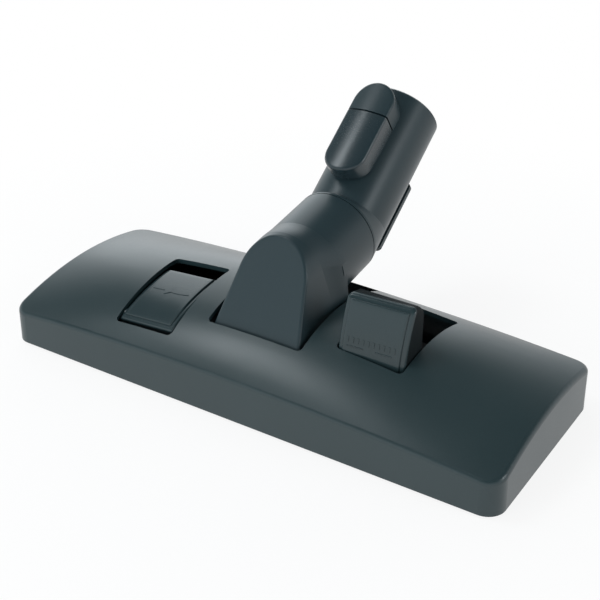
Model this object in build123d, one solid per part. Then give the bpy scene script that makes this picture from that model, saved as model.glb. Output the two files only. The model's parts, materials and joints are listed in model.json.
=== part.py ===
from build123d import *
from math import cos, hypot, radians, sin, sqrt
import os

# Vacuum floor brush head. Millimetres, +Z up, X across the head, the front edge at -Y.
# The origin lies on the floor under the middle of the cover.

# Cover: a thin moulded shell with a crowned roof.
COVER_WIDTH = 270.0
COVER_DEPTH = 104.0
CORNER_RADIUS = 9.0
COVER_WALL = 2.4
CREASE_FILLET = 2.6
FLOOR_GAP = 1.0
FRONT_HEIGHT = 22.2
REAR_HEIGHT = 26.4
CROWN_HEIGHT = 43.2
CROWN_APEX_Y = 4.0
CREASE_FALL = 5.0
CROWN_FALL = 16.0
WALL_DRAFT = 1.0

# Openings in the roof.
PEDAL_INNER_X = 39.2
PEDAL_OPENING_WIDTH = 34.0
LEFT_OPENING_FRONT = -42.9
LEFT_OPENING_LENGTH = 50.0
RIGHT_OPENING_FRONT = -22.6
RIGHT_OPENING_LENGTH = 57.2
OPENING_RADIUS = 2.4
HOOD_OPENING_WIDTH = 52.0
HOOD_OPENING_FRONT = -31.2
HOOD_OPENING_REAR = 44.0

# Base, sole and suction mouth.
BASE_PLATE = 3.0
BASE_PLAY = 0.3
SOLE_SHEET = 1.0
SOLE_MARGIN = 5.0
MOUTH_WIDTH = 112.0
MOUTH_DEPTH = 16.0
MOUTH_Y = -17.0
TROUGH_WALL = 2.0
TROUGH_TOP = 26.0
TROUGH_FRONT = -37.5
TROUGH_REAR = 27.0
TROUGH_HALF = 27.0

# Brush carriage and its two bristle rows.
BRUSH_INSET = 28.0
BRUSH_WIDTH = 5.0
FRONT_BRUSH_Y = -44.0
REAR_BRUSH_Y = 33.0
BRUSH_SLOT_PLAY = 0.6
CARRIAGE_BAR = 4.0
CARRIAGE_LIFT = 7.0
CARRIAGE_END_INSET = 37.0
GUIDE_Y = -5.0
GUIDE_TOP = 27.0
GUIDE_RADIUS = 2.5
RUNNING_PLAY = 0.06

# Pedals: thin keys with skirts, rocking on pins near their front ends.
PEDAL_PLAY = 0.7
PEDAL_LENGTH = 41.0
PEDAL_PLATE = 2.4
PEDAL_EDGE = 1.0
PEDAL_CAMBER = 2.2
PEDAL_SKIRT = 1.8
PEDAL_TAIL_DEPTH = 9.6
PEDAL_TAIL_CHAMFER = 2.5
PEDAL_BELLY_DEPTH = 16.5
PEDAL_BELLY_RUN = 22.0
PEDAL_HINGE_BACK = 6.0
PEDAL_HINGE_DEPTH = 6.0
PEDAL_BOSS_RADIUS = 4.5
PEDAL_PIN_RADIUS = 2.5
PEDAL_PIN_OVERHANG = 2.6
PEDAL_SADDLE_RISE = 0.8
LEFT_PEDAL_TAIL = (-1.3, 38.4)
LEFT_PEDAL_ANGLE = 13.0
RIGHT_PEDAL_TAIL = (-13.4, 61.7)
RIGHT_PEDAL_ANGLE = 76.0
LEDGE_DEPTH = 0.7
LEDGE_INSET = 2.3

# Neck: hood and lower tube in one moulding, tilting on two trunnions.
TRUNNION_Y = 6.0
TRUNNION_Z = 24.0
TRUNNION_RADIUS = 5.0
DRUM_RADIUS = 17.0
HOOD_HALF_WIDTH = 23.6
HOOD_FLANK_FOOT = -12.6
HOOD_SHOULDER_HALF = 18.6
HOOD_SHOULDER_RISE = 10.0
HOOD_CREST = 24.8
HOOD_BLEND_START = 1.0
HOOD_BLEND_END = 13.0
HOOD_BLEND_STEP = 0.02
TUBE_SHOULDER_RISE = 6.0
HOOD_FACE_FOOT_Y = -28.6
HOOD_FACE_FOOT_Z = 34.6
HOOD_FACE_ANGLE = 61.2
HOOD_SKIRT_REAR = 15.4
HOOD_WALL = 2.2
HOOD_EDGE_FILLET = 1.6
NECK_RISE = 8.85
NECK_AXIS_Z = 51.8
NECK_RADIUS = 22.5
NECK_WALL = 2.4
SEAM_DISTANCE = 41.1
SEAM_GAP = 0.5

# Swivel joint between the lower tube and the elbow.
SPIGOT_LENGTH = 12.0
SPIGOT_WALL = 2.4
SNAP_RING_WIDTH = 2.4
SNAP_RING_DEPTH = 1.0
FELT_WIDTH = 3.0
FELT_DEPTH = 0.8

# Elbow with the wand socket.
SOCKET_RISE = 35.9
SOCKET_RADIUS = 20.6
SOCKET_BORE = 17.5
SOCKET_DEPTH = 44.0
SOCKET_STEP = 1.6
SOCKET_LENGTH = 72.0
BEND_DISTANCE = 6.7
COLLAR_LENGTH = 1.2
THROAT_DISTANCE = 6.5
RIM_CHAMFER = 0.8

# Latch on top of the socket and park plate underneath.
LATCH_HALF_WIDTH = 11.0
LATCH_TOP_RADIUS = 31.2
LATCH_SEAM = 49.9
LATCH_FOOT = 14.2
FAIRING_LENGTH = 17.3
LATCH_GAP = 0.9
LATCH_WALL = 2.0
LATCH_PIN_RADIUS = 1.5
LATCH_PIN_BACK = 8.0
LATCH_PIN_CLEARANCE = 0.7
LATCH_PIN_COVER = 1.0
PLATE_HALF_WIDTH = 13.0
PLATE_THICK = 2.4
PLATE_START = 3.5
PLATE_LENGTH = 41.0
PLATE_STANDOFF = 1.6
LATCH_CREST_FILLET = 1.7
LATCH_SEAT_GAP = 0.4
LATCH_PRESS_ANGLE = 4.0
LUG_HALF_WIDTH = 4.0
SPRING_RADIUS = 2.6
SPRING_WIRE = 0.35
SPRING_TURNS = 4
SPRING_PLACE = 24.0

# Wheels and fasteners.
WHEEL_RADIUS = 8.0
WHEEL_WIDTH = 9.0
WHEEL_INSET = 16.0
WHEEL_Y = 39.5
AXLE_RADIUS = 1.6
FORK_WALL = 3.0
WHEEL_SIDE_PLAY = 0.4
SCREW_INSET = 11.0
SCREW_FRONT_Y = -38.0
SCREW_REAR_Y = 16.0
SCREW_RADIUS = 1.5
SCREW_HEAD_RADIUS = 3.0
SCREW_HEAD = 1.6
SCREW_BOSS_RADIUS = 3.8
LINT_LENGTH = 62.0
LINT_WIDTH = 5.0
LINT_GAP = 2.5

# Places worked out from the sizes above.
HALF_WIDTH = COVER_WIDTH / 2
HALF_DEPTH = COVER_DEPTH / 2
BRUSH_LENGTH = COVER_WIDTH - 2 * BRUSH_INSET
CARRIAGE_END_X = HALF_WIDTH - CARRIAGE_END_INSET
WHEEL_X = HALF_WIDTH - WHEEL_INSET
SCREW_X = HALF_WIDTH - SCREW_INSET
PLATE_LOW = SOLE_SHEET
PLATE_TOP = SOLE_SHEET + BASE_PLATE
PEDAL_OUTER_X = PEDAL_INNER_X + PEDAL_OPENING_WIDTH
PEDAL_X = (PEDAL_INNER_X + PEDAL_OUTER_X) / 2
PEDAL_WIDTH = PEDAL_OPENING_WIDTH - 2 * PEDAL_PLAY
NECK_AXIS = Axis((0, 0, NECK_AXIS_Z), (0, cos(radians(NECK_RISE)), sin(radians(NECK_RISE))))
NECK_PLANE = Plane((0, 0, NECK_AXIS_Z), x_dir=(-1, 0, 0), z_dir=NECK_AXIS.direction)
SOCKET_DIRECTION = Vector(0, cos(radians(SOCKET_RISE)), sin(radians(SOCKET_RISE)))
BEND_POINT = NECK_AXIS.position + NECK_AXIS.direction * (SEAM_DISTANCE + BEND_DISTANCE)
SOCKET_PLANE = Plane(BEND_POINT, x_dir=(-1, 0, 0), z_dir=SOCKET_DIRECTION)


def box(x0, x1, y0, y1, z0, z1):
    """Block between two corners."""
    return Pos((x0 + x1) / 2, (y0 + y1) / 2, (z0 + z1) / 2) * Box(x1 - x0, y1 - y0, z1 - z0)


def rod(start, direction, radius, length):
    """Round bar from a start point along a direction."""
    plane = Plane(start, z_dir=direction)
    return extrude(plane * Circle(radius), amount=length)


def cross_bar(y, z, radius, x0, x1):
    """Round bar along X."""
    return rod((x0, y, z), (1, 0, 0), radius, x1 - x0)


def side_profile(points, half_width):
    """Prism along X with a closed outline given as (y, z) points."""
    outline = Polyline([(0, y, z) for y, z in points], close=True)
    return extrude(Face(Wire(outline.edges())), amount=half_width, dir=(1, 0, 0), both=True)


def circle_through(a, b, c):
    """Centre and radius of the circle through three points of a plane."""
    ax, ay = b[0] - a[0], b[1] - a[1]
    bx, by = c[0] - a[0], c[1] - a[1]
    turn = 2 * (ax * by - ay * bx)
    ux = (by * (ax * ax + ay * ay) - ay * (bx * bx + by * by)) / turn
    uy = (ax * (bx * bx + by * by) - bx * (ax * ax + ay * ay)) / turn
    return a[0] + ux, a[1] + uy, hypot(ux, uy)


def crown_arc(x):
    """Centre and radius of the roof's arc in the section at x."""
    share = (x / HALF_WIDTH) ** 2
    front = (-HALF_DEPTH, FRONT_HEIGHT - CREASE_FALL * share)
    apex = (CROWN_APEX_Y, CROWN_HEIGHT - CROWN_FALL * share)
    rear = (HALF_DEPTH, REAR_HEIGHT - CREASE_FALL * share)
    return circle_through(front, apex, rear)


def roof_height(x, y):
    """Height of the roof's outer face above the floor."""
    centre_y, centre_z, radius = crown_arc(x)
    return centre_z + sqrt(radius**2 - (y - centre_y) ** 2)


def crown_section(x, drop):
    """Closed section of the space below the roof, lowered by the roof's thickness."""
    reach = HALF_DEPTH + 4 * COVER_WALL
    centre_y, centre_z, radius = crown_arc(x)
    heights = [centre_z + sqrt(radius**2 - (y - centre_y) ** 2) - drop for y in (-reach, 0, reach)]
    roof = ThreePointArc((x, -reach, heights[0]), (x, 0, heights[1]), (x, reach, heights[2]))
    rear = [(x, reach, heights[2]), (x, reach, -reach)]
    front = [(x, -reach, -reach), (x, -reach, heights[0])]
    rest = Polyline(rear + front)
    return Wire(roof.edges() + rest.edges())


def crown(drop):
    """Space below the crowned roof, lofted across the width."""
    reach = HALF_WIDTH + 2 * COVER_WALL
    stations = [-reach, -reach / 2, 0, reach / 2, reach]
    return Solid.make_loft([crown_section(x, drop) for x in stations])


def cover_block(inset, drop):
    """Crowned block with drafted walls, shrunk evenly for the inside of the shell."""
    plan = RectangleRounded(COVER_WIDTH - 2 * inset, COVER_DEPTH - 2 * inset, CORNER_RADIUS - inset)
    low = FLOOR_GAP if inset == 0 else 0
    prism = extrude(Pos(0, 0, low) * plan, amount=CROWN_HEIGHT + drop, taper=WALL_DRAFT)
    return prism & crown(drop)


def roof_opening(x0, x1, y0, y1):
    """Cutter for a round-cornered opening through the roof."""
    plan = Pos((x0 + x1) / 2, (y0 + y1) / 2, PLATE_TOP + BASE_PLATE) * RectangleRounded(
        x1 - x0, y1 - y0, OPENING_RADIUS
    )
    return extrude(plan, amount=CROWN_HEIGHT)


def screw_places():
    """Four screw positions near the corners."""
    return [(side * SCREW_X, y) for side in (-1, 1) for y in (SCREW_FRONT_Y, SCREW_REAR_Y)]


def make_top_cover():
    """Crowned shell with three openings and four screw bosses."""
    outer = cover_block(0, 0)
    crease = outer.edges().filter_by(lambda edge: edge.center().Z > FRONT_HEIGHT - 1.6 * CREASE_FALL)
    crease = crease.filter_by(lambda edge: abs((edge @ 1).Z - (edge @ 0).Z) < 2 * CREASE_FALL)
    outer = fillet(crease, CREASE_FILLET)
    shell = outer - cover_block(COVER_WALL, COVER_WALL)
    for x, y in screw_places():
        boss = extrude(Pos(x, y, PLATE_TOP) * Circle(SCREW_BOSS_RADIUS), amount=CROWN_HEIGHT)
        shell += boss & cover_block(COVER_WALL / 2, COVER_WALL / 2)
        pilot_depth = roof_height(x, y) - COVER_WALL - PLATE_TOP - 1
        shell -= extrude(Pos(x, y, PLATE_TOP) * Circle(SCREW_RADIUS), amount=pilot_depth)
    half = HOOD_OPENING_WIDTH / 2
    shell -= roof_opening(-half, half, HOOD_OPENING_FRONT, HOOD_OPENING_REAR)
    left_rear = LEFT_OPENING_FRONT + LEFT_OPENING_LENGTH
    shell -= roof_opening(-PEDAL_OUTER_X, -PEDAL_INNER_X, LEFT_OPENING_FRONT, left_rear)
    right_rear = RIGHT_OPENING_FRONT + RIGHT_OPENING_LENGTH
    shell -= roof_opening(PEDAL_INNER_X, PEDAL_OUTER_X, RIGHT_OPENING_FRONT, right_rear)
    return shell


def pedal_frame(tail, angle):
    """Hinge-centred frame of a pedal from its tail edge and slope, as (y, z) and degrees."""
    run = PEDAL_LENGTH - PEDAL_HINGE_BACK
    turn = radians(angle)
    y = tail[0] - run * cos(turn) + PEDAL_HINGE_DEPTH * sin(turn)
    z = tail[1] - run * sin(turn) - PEDAL_HINGE_DEPTH * cos(turn)
    return y, z


def pedal_place(x, tail, angle):
    """Location that carries the pedal from its own frame to the head."""
    y, z = pedal_frame(tail, angle)
    return Pos(x, y, z) * Rot(angle, 0, 0)


def pedal_camber():
    """Centre and radius of the arc along a pedal's face, as (y, z, radius)."""
    front = -PEDAL_HINGE_BACK
    tail = PEDAL_LENGTH - PEDAL_HINGE_BACK
    crest = ((front + tail) / 2, PEDAL_HINGE_DEPTH + PEDAL_CAMBER)
    return circle_through((front, PEDAL_HINGE_DEPTH), crest, (tail, PEDAL_HINGE_DEPTH))


def pedal_layer(high, low, margin):
    """Cambered layer between two depths under the face, pulled in by a margin on every side."""
    y, z, radius = pedal_camber()
    front = -PEDAL_HINGE_BACK + margin
    tail = PEDAL_LENGTH - PEDAL_HINGE_BACK - margin
    half = PEDAL_WIDTH / 2 - margin
    layer = cross_bar(y, z, radius - high, -half, half) - cross_bar(y, z, radius - low, -half, half)
    return layer & box(-PEDAL_WIDTH, PEDAL_WIDTH, front, tail, 0, z + 2 * radius)


def make_pedal(place):
    """Cambered key with a raised field, two deep skirts and a hinge boss."""
    tail = PEDAL_LENGTH - PEDAL_HINGE_BACK
    plate = pedal_layer(LEDGE_DEPTH, PEDAL_PLATE, 0)
    plate = fillet(plate.faces().sort_by(Axis.Z)[-1].edges(), PEDAL_EDGE)
    field = pedal_layer(0, PEDAL_PLATE - LEDGE_DEPTH, LEDGE_INSET)
    plate += fillet(field.faces().sort_by(Axis.Z)[-1].edges(), LEDGE_DEPTH / 2)
    crest = PEDAL_HINGE_DEPTH + PEDAL_CAMBER
    skirt_points = [
        (-PEDAL_HINGE_BACK, crest),
        (-PEDAL_HINGE_BACK, PEDAL_HINGE_DEPTH - 3 * PEDAL_PLATE / 2),
        (-PEDAL_BOSS_RADIUS, 0),
        (0, -PEDAL_BOSS_RADIUS),
        (tail - PEDAL_BELLY_RUN, PEDAL_HINGE_DEPTH - PEDAL_BELLY_DEPTH),
        (tail - PEDAL_TAIL_CHAMFER, PEDAL_HINGE_DEPTH - PEDAL_TAIL_DEPTH - PEDAL_TAIL_CHAMFER),
        (tail, PEDAL_HINGE_DEPTH - PEDAL_TAIL_DEPTH),
        (tail, crest),
    ]
    skirts = side_profile(skirt_points, PEDAL_WIDTH / 2)
    skirts -= side_profile(skirt_points, PEDAL_WIDTH / 2 - PEDAL_SKIRT)
    y, z, radius = pedal_camber()
    skirts &= cross_bar(y, z, radius - PEDAL_PLATE / 2, -PEDAL_WIDTH, PEDAL_WIDTH)
    boss = cross_bar(0, 0, PEDAL_BOSS_RADIUS, -PEDAL_WIDTH / 2, PEDAL_WIDTH / 2)
    body = plate + skirts + boss
    body -= cross_bar(0, 0, PEDAL_PIN_RADIUS + RUNNING_PLAY, -PEDAL_WIDTH, PEDAL_WIDTH)
    return place * body


def make_pedal_pin(x, tail, angle):
    """Plain pin that a pedal rocks on."""
    y, z = pedal_frame(tail, angle)
    half = PEDAL_WIDTH / 2 + PEDAL_PLAY + PEDAL_PIN_OVERHANG
    return cross_bar(y, z, PEDAL_PIN_RADIUS, x - half, x + half)


def pedal_bearings(x, tail, angle):
    """Two upright cheeks on the base with open saddles that a pedal's pin snaps into."""
    y, z = pedal_frame(tail, angle)
    inner = PEDAL_WIDTH / 2 + PEDAL_PLAY
    cheeks = []
    for side in (-1, 1):
        near = x + side * inner
        far = x + side * (inner + PEDAL_PIN_OVERHANG)
        x0, x1 = min(near, far), max(near, far)
        post = box(x0, x1, y - PEDAL_BOSS_RADIUS, y + PEDAL_BOSS_RADIUS, PLATE_LOW, z + PEDAL_SADDLE_RISE)
        cheeks.append(post - cross_bar(y, z, PEDAL_PIN_RADIUS, x0, x1))
    return cheeks


def brush_slot(y, low, high):
    """Cutter for one bristle row's slot."""
    half = BRUSH_WIDTH / 2 + BRUSH_SLOT_PLAY
    reach = BRUSH_LENGTH / 2 + BRUSH_SLOT_PLAY
    return box(-reach, reach, y - half, y + half, low, high)


def mouth(low, high, margin):
    """Cutter for the suction mouth."""
    half = MOUTH_WIDTH / 2 + margin
    depth = MOUTH_DEPTH / 2 + margin
    return box(-half, half, MOUTH_Y - depth, MOUTH_Y + depth, low, high)


def wheel_well(side, low, high):
    """Cutter that lets a wheel through the sole and the base."""
    half = WHEEL_WIDTH / 2 + WHEEL_SIDE_PLAY
    reach = WHEEL_RADIUS + 2 * WHEEL_SIDE_PLAY
    x = side * WHEEL_X
    return box(x - half, x + half, WHEEL_Y - reach, WHEEL_Y + reach, low, high)


def wheel_fork(side):
    """Two cheeks on the base that carry a wheel's axle."""
    half = WHEEL_WIDTH / 2 + WHEEL_SIDE_PLAY
    cheeks = []
    for x0 in (side * WHEEL_X - half - FORK_WALL, side * WHEEL_X + half):
        x1 = x0 + FORK_WALL
        cheek = box(x0, x1, WHEEL_Y - 2 * FORK_WALL, WHEEL_Y + FORK_WALL, PLATE_LOW, WHEEL_RADIUS)
        cheek += cross_bar(WHEEL_Y, WHEEL_RADIUS, FORK_WALL, x0, x1)
        cheeks.append(cheek - cross_bar(WHEEL_Y, WHEEL_RADIUS, AXLE_RADIUS, x0, x1))
    return cheeks


def bearing_block(side, low, high):
    """Block around a trunnion, split at the axis into saddle and cap."""
    reach = TRUNNION_RADIUS + 2 * TROUGH_WALL
    inner = TROUGH_HALF
    outer = TROUGH_HALF + 3 * TROUGH_WALL
    x0, x1 = (inner, outer) if side > 0 else (-outer, -inner)
    block = box(x0, x1, TRUNNION_Y - reach, TRUNNION_Y + reach, low, high)
    return block - cross_bar(TRUNNION_Y, TRUNNION_Z, TRUNNION_RADIUS + RUNNING_PLAY, x0, x1)


def make_base_housing():
    """Base plate with the suction trough, pedal cheeks, wheel forks and guide posts."""
    inset = COVER_WALL + BASE_PLAY
    plan = RectangleRounded(COVER_WIDTH - 2 * inset, COVER_DEPTH - 2 * inset, CORNER_RADIUS - inset)
    base = extrude(Pos(0, 0, PLATE_LOW) * plan, amount=BASE_PLATE, taper=WALL_DRAFT)
    outer = TROUGH_HALF + TROUGH_WALL
    trough = box(-outer, outer, TROUGH_FRONT, TROUGH_REAR, PLATE_LOW, TROUGH_TOP)
    front = TROUGH_FRONT + TROUGH_WALL
    rear = TROUGH_REAR - TROUGH_WALL
    trough -= box(-TROUGH_HALF, TROUGH_HALF, front, rear, PLATE_TOP, TROUGH_TOP)
    base += trough
    for side in (-1, 1):
        x0, x1 = sorted((side * TROUGH_HALF, side * HALF_WIDTH / 2))
        base -= bearing_block(side, TRUNNION_Z, TROUGH_TOP)
        base -= cross_bar(TRUNNION_Y, TRUNNION_Z, TRUNNION_RADIUS + RUNNING_PLAY, x0, x1)
        base += bearing_block(side, PLATE_LOW, TRUNNION_Z)
    for cheek in pedal_bearings(-PEDAL_X, LEFT_PEDAL_TAIL, LEFT_PEDAL_ANGLE):
        base += cheek
    for cheek in pedal_bearings(PEDAL_X, RIGHT_PEDAL_TAIL, RIGHT_PEDAL_ANGLE):
        base += cheek
    tunnel_half = MOUTH_WIDTH / 2 + TROUGH_WALL
    tunnel_depth = MOUTH_DEPTH / 2 + TROUGH_WALL
    tunnel_top = PLATE_TOP + BASE_PLATE + TROUGH_WALL
    tunnel = box(
        -tunnel_half, tunnel_half, MOUTH_Y - tunnel_depth, MOUTH_Y + tunnel_depth, PLATE_LOW, tunnel_top
    )
    base += tunnel - box(-TROUGH_HALF, TROUGH_HALF, -HALF_DEPTH, HALF_DEPTH, PLATE_TOP, tunnel_top)
    base -= mouth(PLATE_LOW, tunnel_top - TROUGH_WALL, 0)
    for y in (FRONT_BRUSH_Y, REAR_BRUSH_Y):
        base -= brush_slot(y, PLATE_LOW, PLATE_TOP)
    for side in (-1, 1):
        base -= wheel_well(side, PLATE_LOW, PLATE_TOP)
        for cheek in wheel_fork(side):
            base += cheek
        post_foot = (side * CARRIAGE_END_X, GUIDE_Y, PLATE_LOW)
        base += rod(post_foot, (0, 0, 1), GUIDE_RADIUS, GUIDE_TOP - PLATE_LOW)
    for x, y in screw_places():
        base -= rod((x, y, PLATE_LOW), (0, 0, 1), SCREW_RADIUS, BASE_PLATE)
        base -= rod((x, y, PLATE_LOW), (0, 0, 1), SCREW_HEAD_RADIUS, SCREW_HEAD)
    for y in lint_places():
        base -= lint_pocket(y)
    return base


def lint_places():
    """Rows on either side of the suction mouth for the lint strips."""
    offset = MOUTH_DEPTH / 2 + LINT_GAP + LINT_WIDTH / 2
    return [MOUTH_Y - offset, MOUTH_Y + offset]


def lint_pocket(y):
    """Shallow pocket under the base that holds a lint strip."""
    half = LINT_LENGTH / 2
    return box(-half, half, y - LINT_WIDTH / 2, y + LINT_WIDTH / 2, PLATE_LOW, PLATE_LOW + BASE_PLATE / 3)


def make_lint_strip(y):
    """Pile strip seated in its pocket and showing through the sole."""
    half = LINT_LENGTH / 2
    low = SOLE_SHEET / 4
    high = PLATE_LOW + BASE_PLATE / 3
    pile = box(-half, half, y - LINT_WIDTH / 2, y + LINT_WIDTH / 2, low, high)
    return fillet(pile.edges().group_by(Axis.Z)[0], SOLE_SHEET / 3)


def make_sole_plate():
    """Sheet steel sole with the mouth, brush slots, wheel wells, lint and screw holes."""
    plan = RectangleRounded(COVER_WIDTH - 2 * SOLE_MARGIN, COVER_DEPTH - 2 * SOLE_MARGIN, CORNER_RADIUS)
    sole = extrude(plan, amount=SOLE_SHEET)
    sole -= mouth(0, SOLE_SHEET, SOLE_SHEET / 2)
    for y in (FRONT_BRUSH_Y, REAR_BRUSH_Y):
        sole -= brush_slot(y, 0, SOLE_SHEET)
    for side in (-1, 1):
        sole -= wheel_well(side, 0, SOLE_SHEET)
    for y in lint_places():
        half = LINT_LENGTH / 2
        sole -= box(-half, half, y - LINT_WIDTH / 2, y + LINT_WIDTH / 2, 0, SOLE_SHEET)
    for x, y in screw_places():
        sole -= rod((x, y, 0), (0, 0, 1), SCREW_HEAD_RADIUS, SOLE_SHEET)
    return sole


def make_brush_carriage():
    """Frame of two bars and two end bars that slides on the guide posts."""
    low = PLATE_TOP + CARRIAGE_LIFT
    high = low + CARRIAGE_BAR
    half = BRUSH_LENGTH / 2
    bar = BRUSH_WIDTH / 2 + 1
    frame = box(-half, half, FRONT_BRUSH_Y - bar, FRONT_BRUSH_Y + bar, low, high)
    frame += box(-half, half, REAR_BRUSH_Y - bar, REAR_BRUSH_Y + bar, low, high)
    for side in (-1, 1):
        x = side * CARRIAGE_END_X
        frame += box(x - bar, x + bar, FRONT_BRUSH_Y, REAR_BRUSH_Y, low, high)
        frame += rod((x, GUIDE_Y, low), (0, 0, 1), 2 * GUIDE_RADIUS, 2 * CARRIAGE_BAR)
        frame -= rod((x, GUIDE_Y, low), (0, 0, 1), GUIDE_RADIUS + RUNNING_PLAY, 2 * CARRIAGE_BAR)
    return frame


def make_bristles(y):
    """One bristle row hanging from the carriage into its slot."""
    low = SOLE_SHEET + BRUSH_SLOT_PLAY
    high = PLATE_TOP + CARRIAGE_LIFT
    half = BRUSH_LENGTH / 2 - BRUSH_SLOT_PLAY
    depth = BRUSH_WIDTH / 2
    return box(-half, half, y - depth, y + depth, low, high)


def hood_outline(distance, shoulder, rise, crest, side):
    """Arched face across the neck axis at a distance along it."""
    deep = -NECK_AXIS_Z
    foot = HOOD_FLANK_FOOT
    left = [(-shoulder, rise), (-side, foot), (-side, deep)]
    right = [(side, deep), (side, foot), (shoulder, rise)]
    lines = Polyline(left + right)
    arch = ThreePointArc((shoulder, rise), (0, crest), (-shoulder, rise))
    return (NECK_PLANE.offset(distance) * make_face(lines.edges() + arch.edges())).face()


def hood_front(distance, shrink):
    """Arched outline of the hood's front, pulled in by a wall."""
    shoulder = HOOD_SHOULDER_HALF - shrink
    side = HOOD_HALF_WIDTH - shrink
    return hood_outline(distance, shoulder, HOOD_SHOULDER_RISE, HOOD_CREST - shrink, side)


def hood_rear(distance, shrink):
    """Outline of the hood where it has become as round as the lower tube, pulled in by a wall."""
    tube = NECK_RADIUS - HOOD_BLEND_STEP - shrink
    shoulder = sqrt(tube * tube - TUBE_SHOULDER_RISE * TUBE_SHOULDER_RISE)
    return hood_outline(distance, shoulder, TUBE_SHOULDER_RISE, tube, HOOD_HALF_WIDTH - shrink)


def hood_block(shrink):
    """Straight front part of the hood, cut to its side outline."""
    face = hood_front(-HALF_DEPTH, shrink)
    return extrude(face, amount=HOOD_BLEND_START + HALF_DEPTH, dir=NECK_AXIS.direction) & hood_side(shrink)


def hood_flow(shrink):
    """Rear part of the hood, which flows into the round lower tube."""
    run = HOOD_BLEND_END - HOOD_BLEND_START
    faces = [hood_front(HOOD_BLEND_START - run / 2, shrink), hood_front(HOOD_BLEND_START, shrink)]
    faces += [hood_rear(HOOD_BLEND_END, shrink), hood_rear(HOOD_BLEND_END + run / 2, shrink)]
    flow = Solid.make_loft([face.outer_wire() for face in faces])
    flow &= neck_rod(2 * COVER_DEPTH, HOOD_BLEND_START, 2 * HOOD_BLEND_END)
    return flow & hood_side(shrink)


def hood_side(shrink):
    """Side outline of the hood from its flat face to the skirts' rear edge."""
    slope = radians(HOOD_FACE_ANGLE)
    shift = shrink / sin(slope)
    top = NECK_AXIS_Z + 2 * NECK_RADIUS
    foot_y = HOOD_FACE_FOOT_Y + shift
    lead = HOOD_FACE_FOOT_Z - TRUNNION_Z - TRUNNION_RADIUS / 2
    low = TRUNNION_Z - DRUM_RADIUS - shrink
    return side_profile(
        [
            (foot_y - lead / 2 / sin(slope) * cos(slope), HOOD_FACE_FOOT_Z - lead / 2),
            (foot_y + (top - HOOD_FACE_FOOT_Z) / sin(slope) * cos(slope), top),
            (HOOD_SKIRT_REAR - shrink, top),
            (HOOD_SKIRT_REAR - shrink, TRUNNION_Z),
            (TRUNNION_Y, low),
            (TRUNNION_Y - DRUM_RADIUS * 0.8 + shrink, TRUNNION_Z - DRUM_RADIUS * 0.6 - shrink),
        ],
        HALF_WIDTH / 2,
    )


def neck_rod(radius, start, end):
    """Round bar along the neck axis between two distances."""
    return extrude(NECK_PLANE.offset(start) * Circle(radius), amount=end - start)


def make_neck_hood():
    """Hood, lower tube and trunnions in one hollow moulding."""
    hood = hood_block(0)
    face_edges = hood.faces().sort_by(Axis.Y)[0].edges()
    hood = fillet(face_edges.filter_by(lambda edge: edge.center().Z > HOOD_FACE_FOOT_Z), HOOD_EDGE_FILLET)
    drum = cross_bar(TRUNNION_Y, TRUNNION_Z, DRUM_RADIUS, -HOOD_HALF_WIDTH, HOOD_HALF_WIDTH)
    tube = neck_rod(NECK_RADIUS, HOOD_BLEND_END, SEAM_DISTANCE)
    neck = hood + hood_flow(0) + drum + tube
    hollow = hood_block(HOOD_WALL) + hood_flow(HOOD_WALL)
    inside = HOOD_HALF_WIDTH - HOOD_WALL
    hollow += cross_bar(TRUNNION_Y, TRUNNION_Z, DRUM_RADIUS - HOOD_WALL, -inside, inside)
    reach = DRUM_RADIUS / 2
    hollow += box(-inside, inside, TRUNNION_Y - reach, TRUNNION_Y + reach, 0, TRUNNION_Z)
    hollow += neck_rod(NECK_RADIUS - NECK_WALL, HOOD_BLEND_END - NECK_WALL, SEAM_DISTANCE)
    neck -= hollow
    reach = TROUGH_HALF + 3 * TROUGH_WALL
    for x0, x1 in ((-reach, -inside), (inside, reach)):
        neck += cross_bar(TRUNNION_Y, TRUNNION_Z, TRUNNION_RADIUS, x0, x1)
    neck -= neck_rod(NECK_RADIUS - NECK_WALL + SNAP_RING_DEPTH / 2, *snap_ring_span())
    return neck


def snap_ring_span():
    """Start and end of the snap ring's groove along the neck axis."""
    middle = SEAM_DISTANCE - SPIGOT_LENGTH / 2
    return middle - SNAP_RING_WIDTH / 2, middle + SNAP_RING_WIDTH / 2


def felt_span():
    """Start and end of the felt ring's groove along the neck axis."""
    start = SEAM_DISTANCE - SPIGOT_LENGTH + SPIGOT_WALL / 2
    return start, start + FELT_WIDTH


def spigot_radius():
    """Outer radius of the elbow's spigot inside the lower tube."""
    return NECK_RADIUS - NECK_WALL - RUNNING_PLAY


def make_swivel_ring():
    """Split ring that holds the spigot in the lower tube."""
    start, end = snap_ring_span()
    outer = NECK_RADIUS - NECK_WALL + SNAP_RING_DEPTH / 2
    ring = neck_rod(outer, start, end) - neck_rod(outer - SNAP_RING_DEPTH, start, end)
    slot = NECK_PLANE.offset(start) * Pos(0, -outer) * Rectangle(2 * SNAP_RING_WIDTH, 2 * SNAP_RING_WIDTH)
    return ring - extrude(slot, amount=SNAP_RING_WIDTH)


def make_swivel_felt():
    """Felt ring that seals the swivel."""
    start, end = felt_span()
    outer = spigot_radius()
    return neck_rod(outer, start, end) - neck_rod(outer - FELT_DEPTH, start, end)


def socket_rod(radius, start, end):
    """Round bar along the socket axis between two distances."""
    return extrude(SOCKET_PLANE.offset(start) * Circle(radius), amount=end - start)


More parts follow.
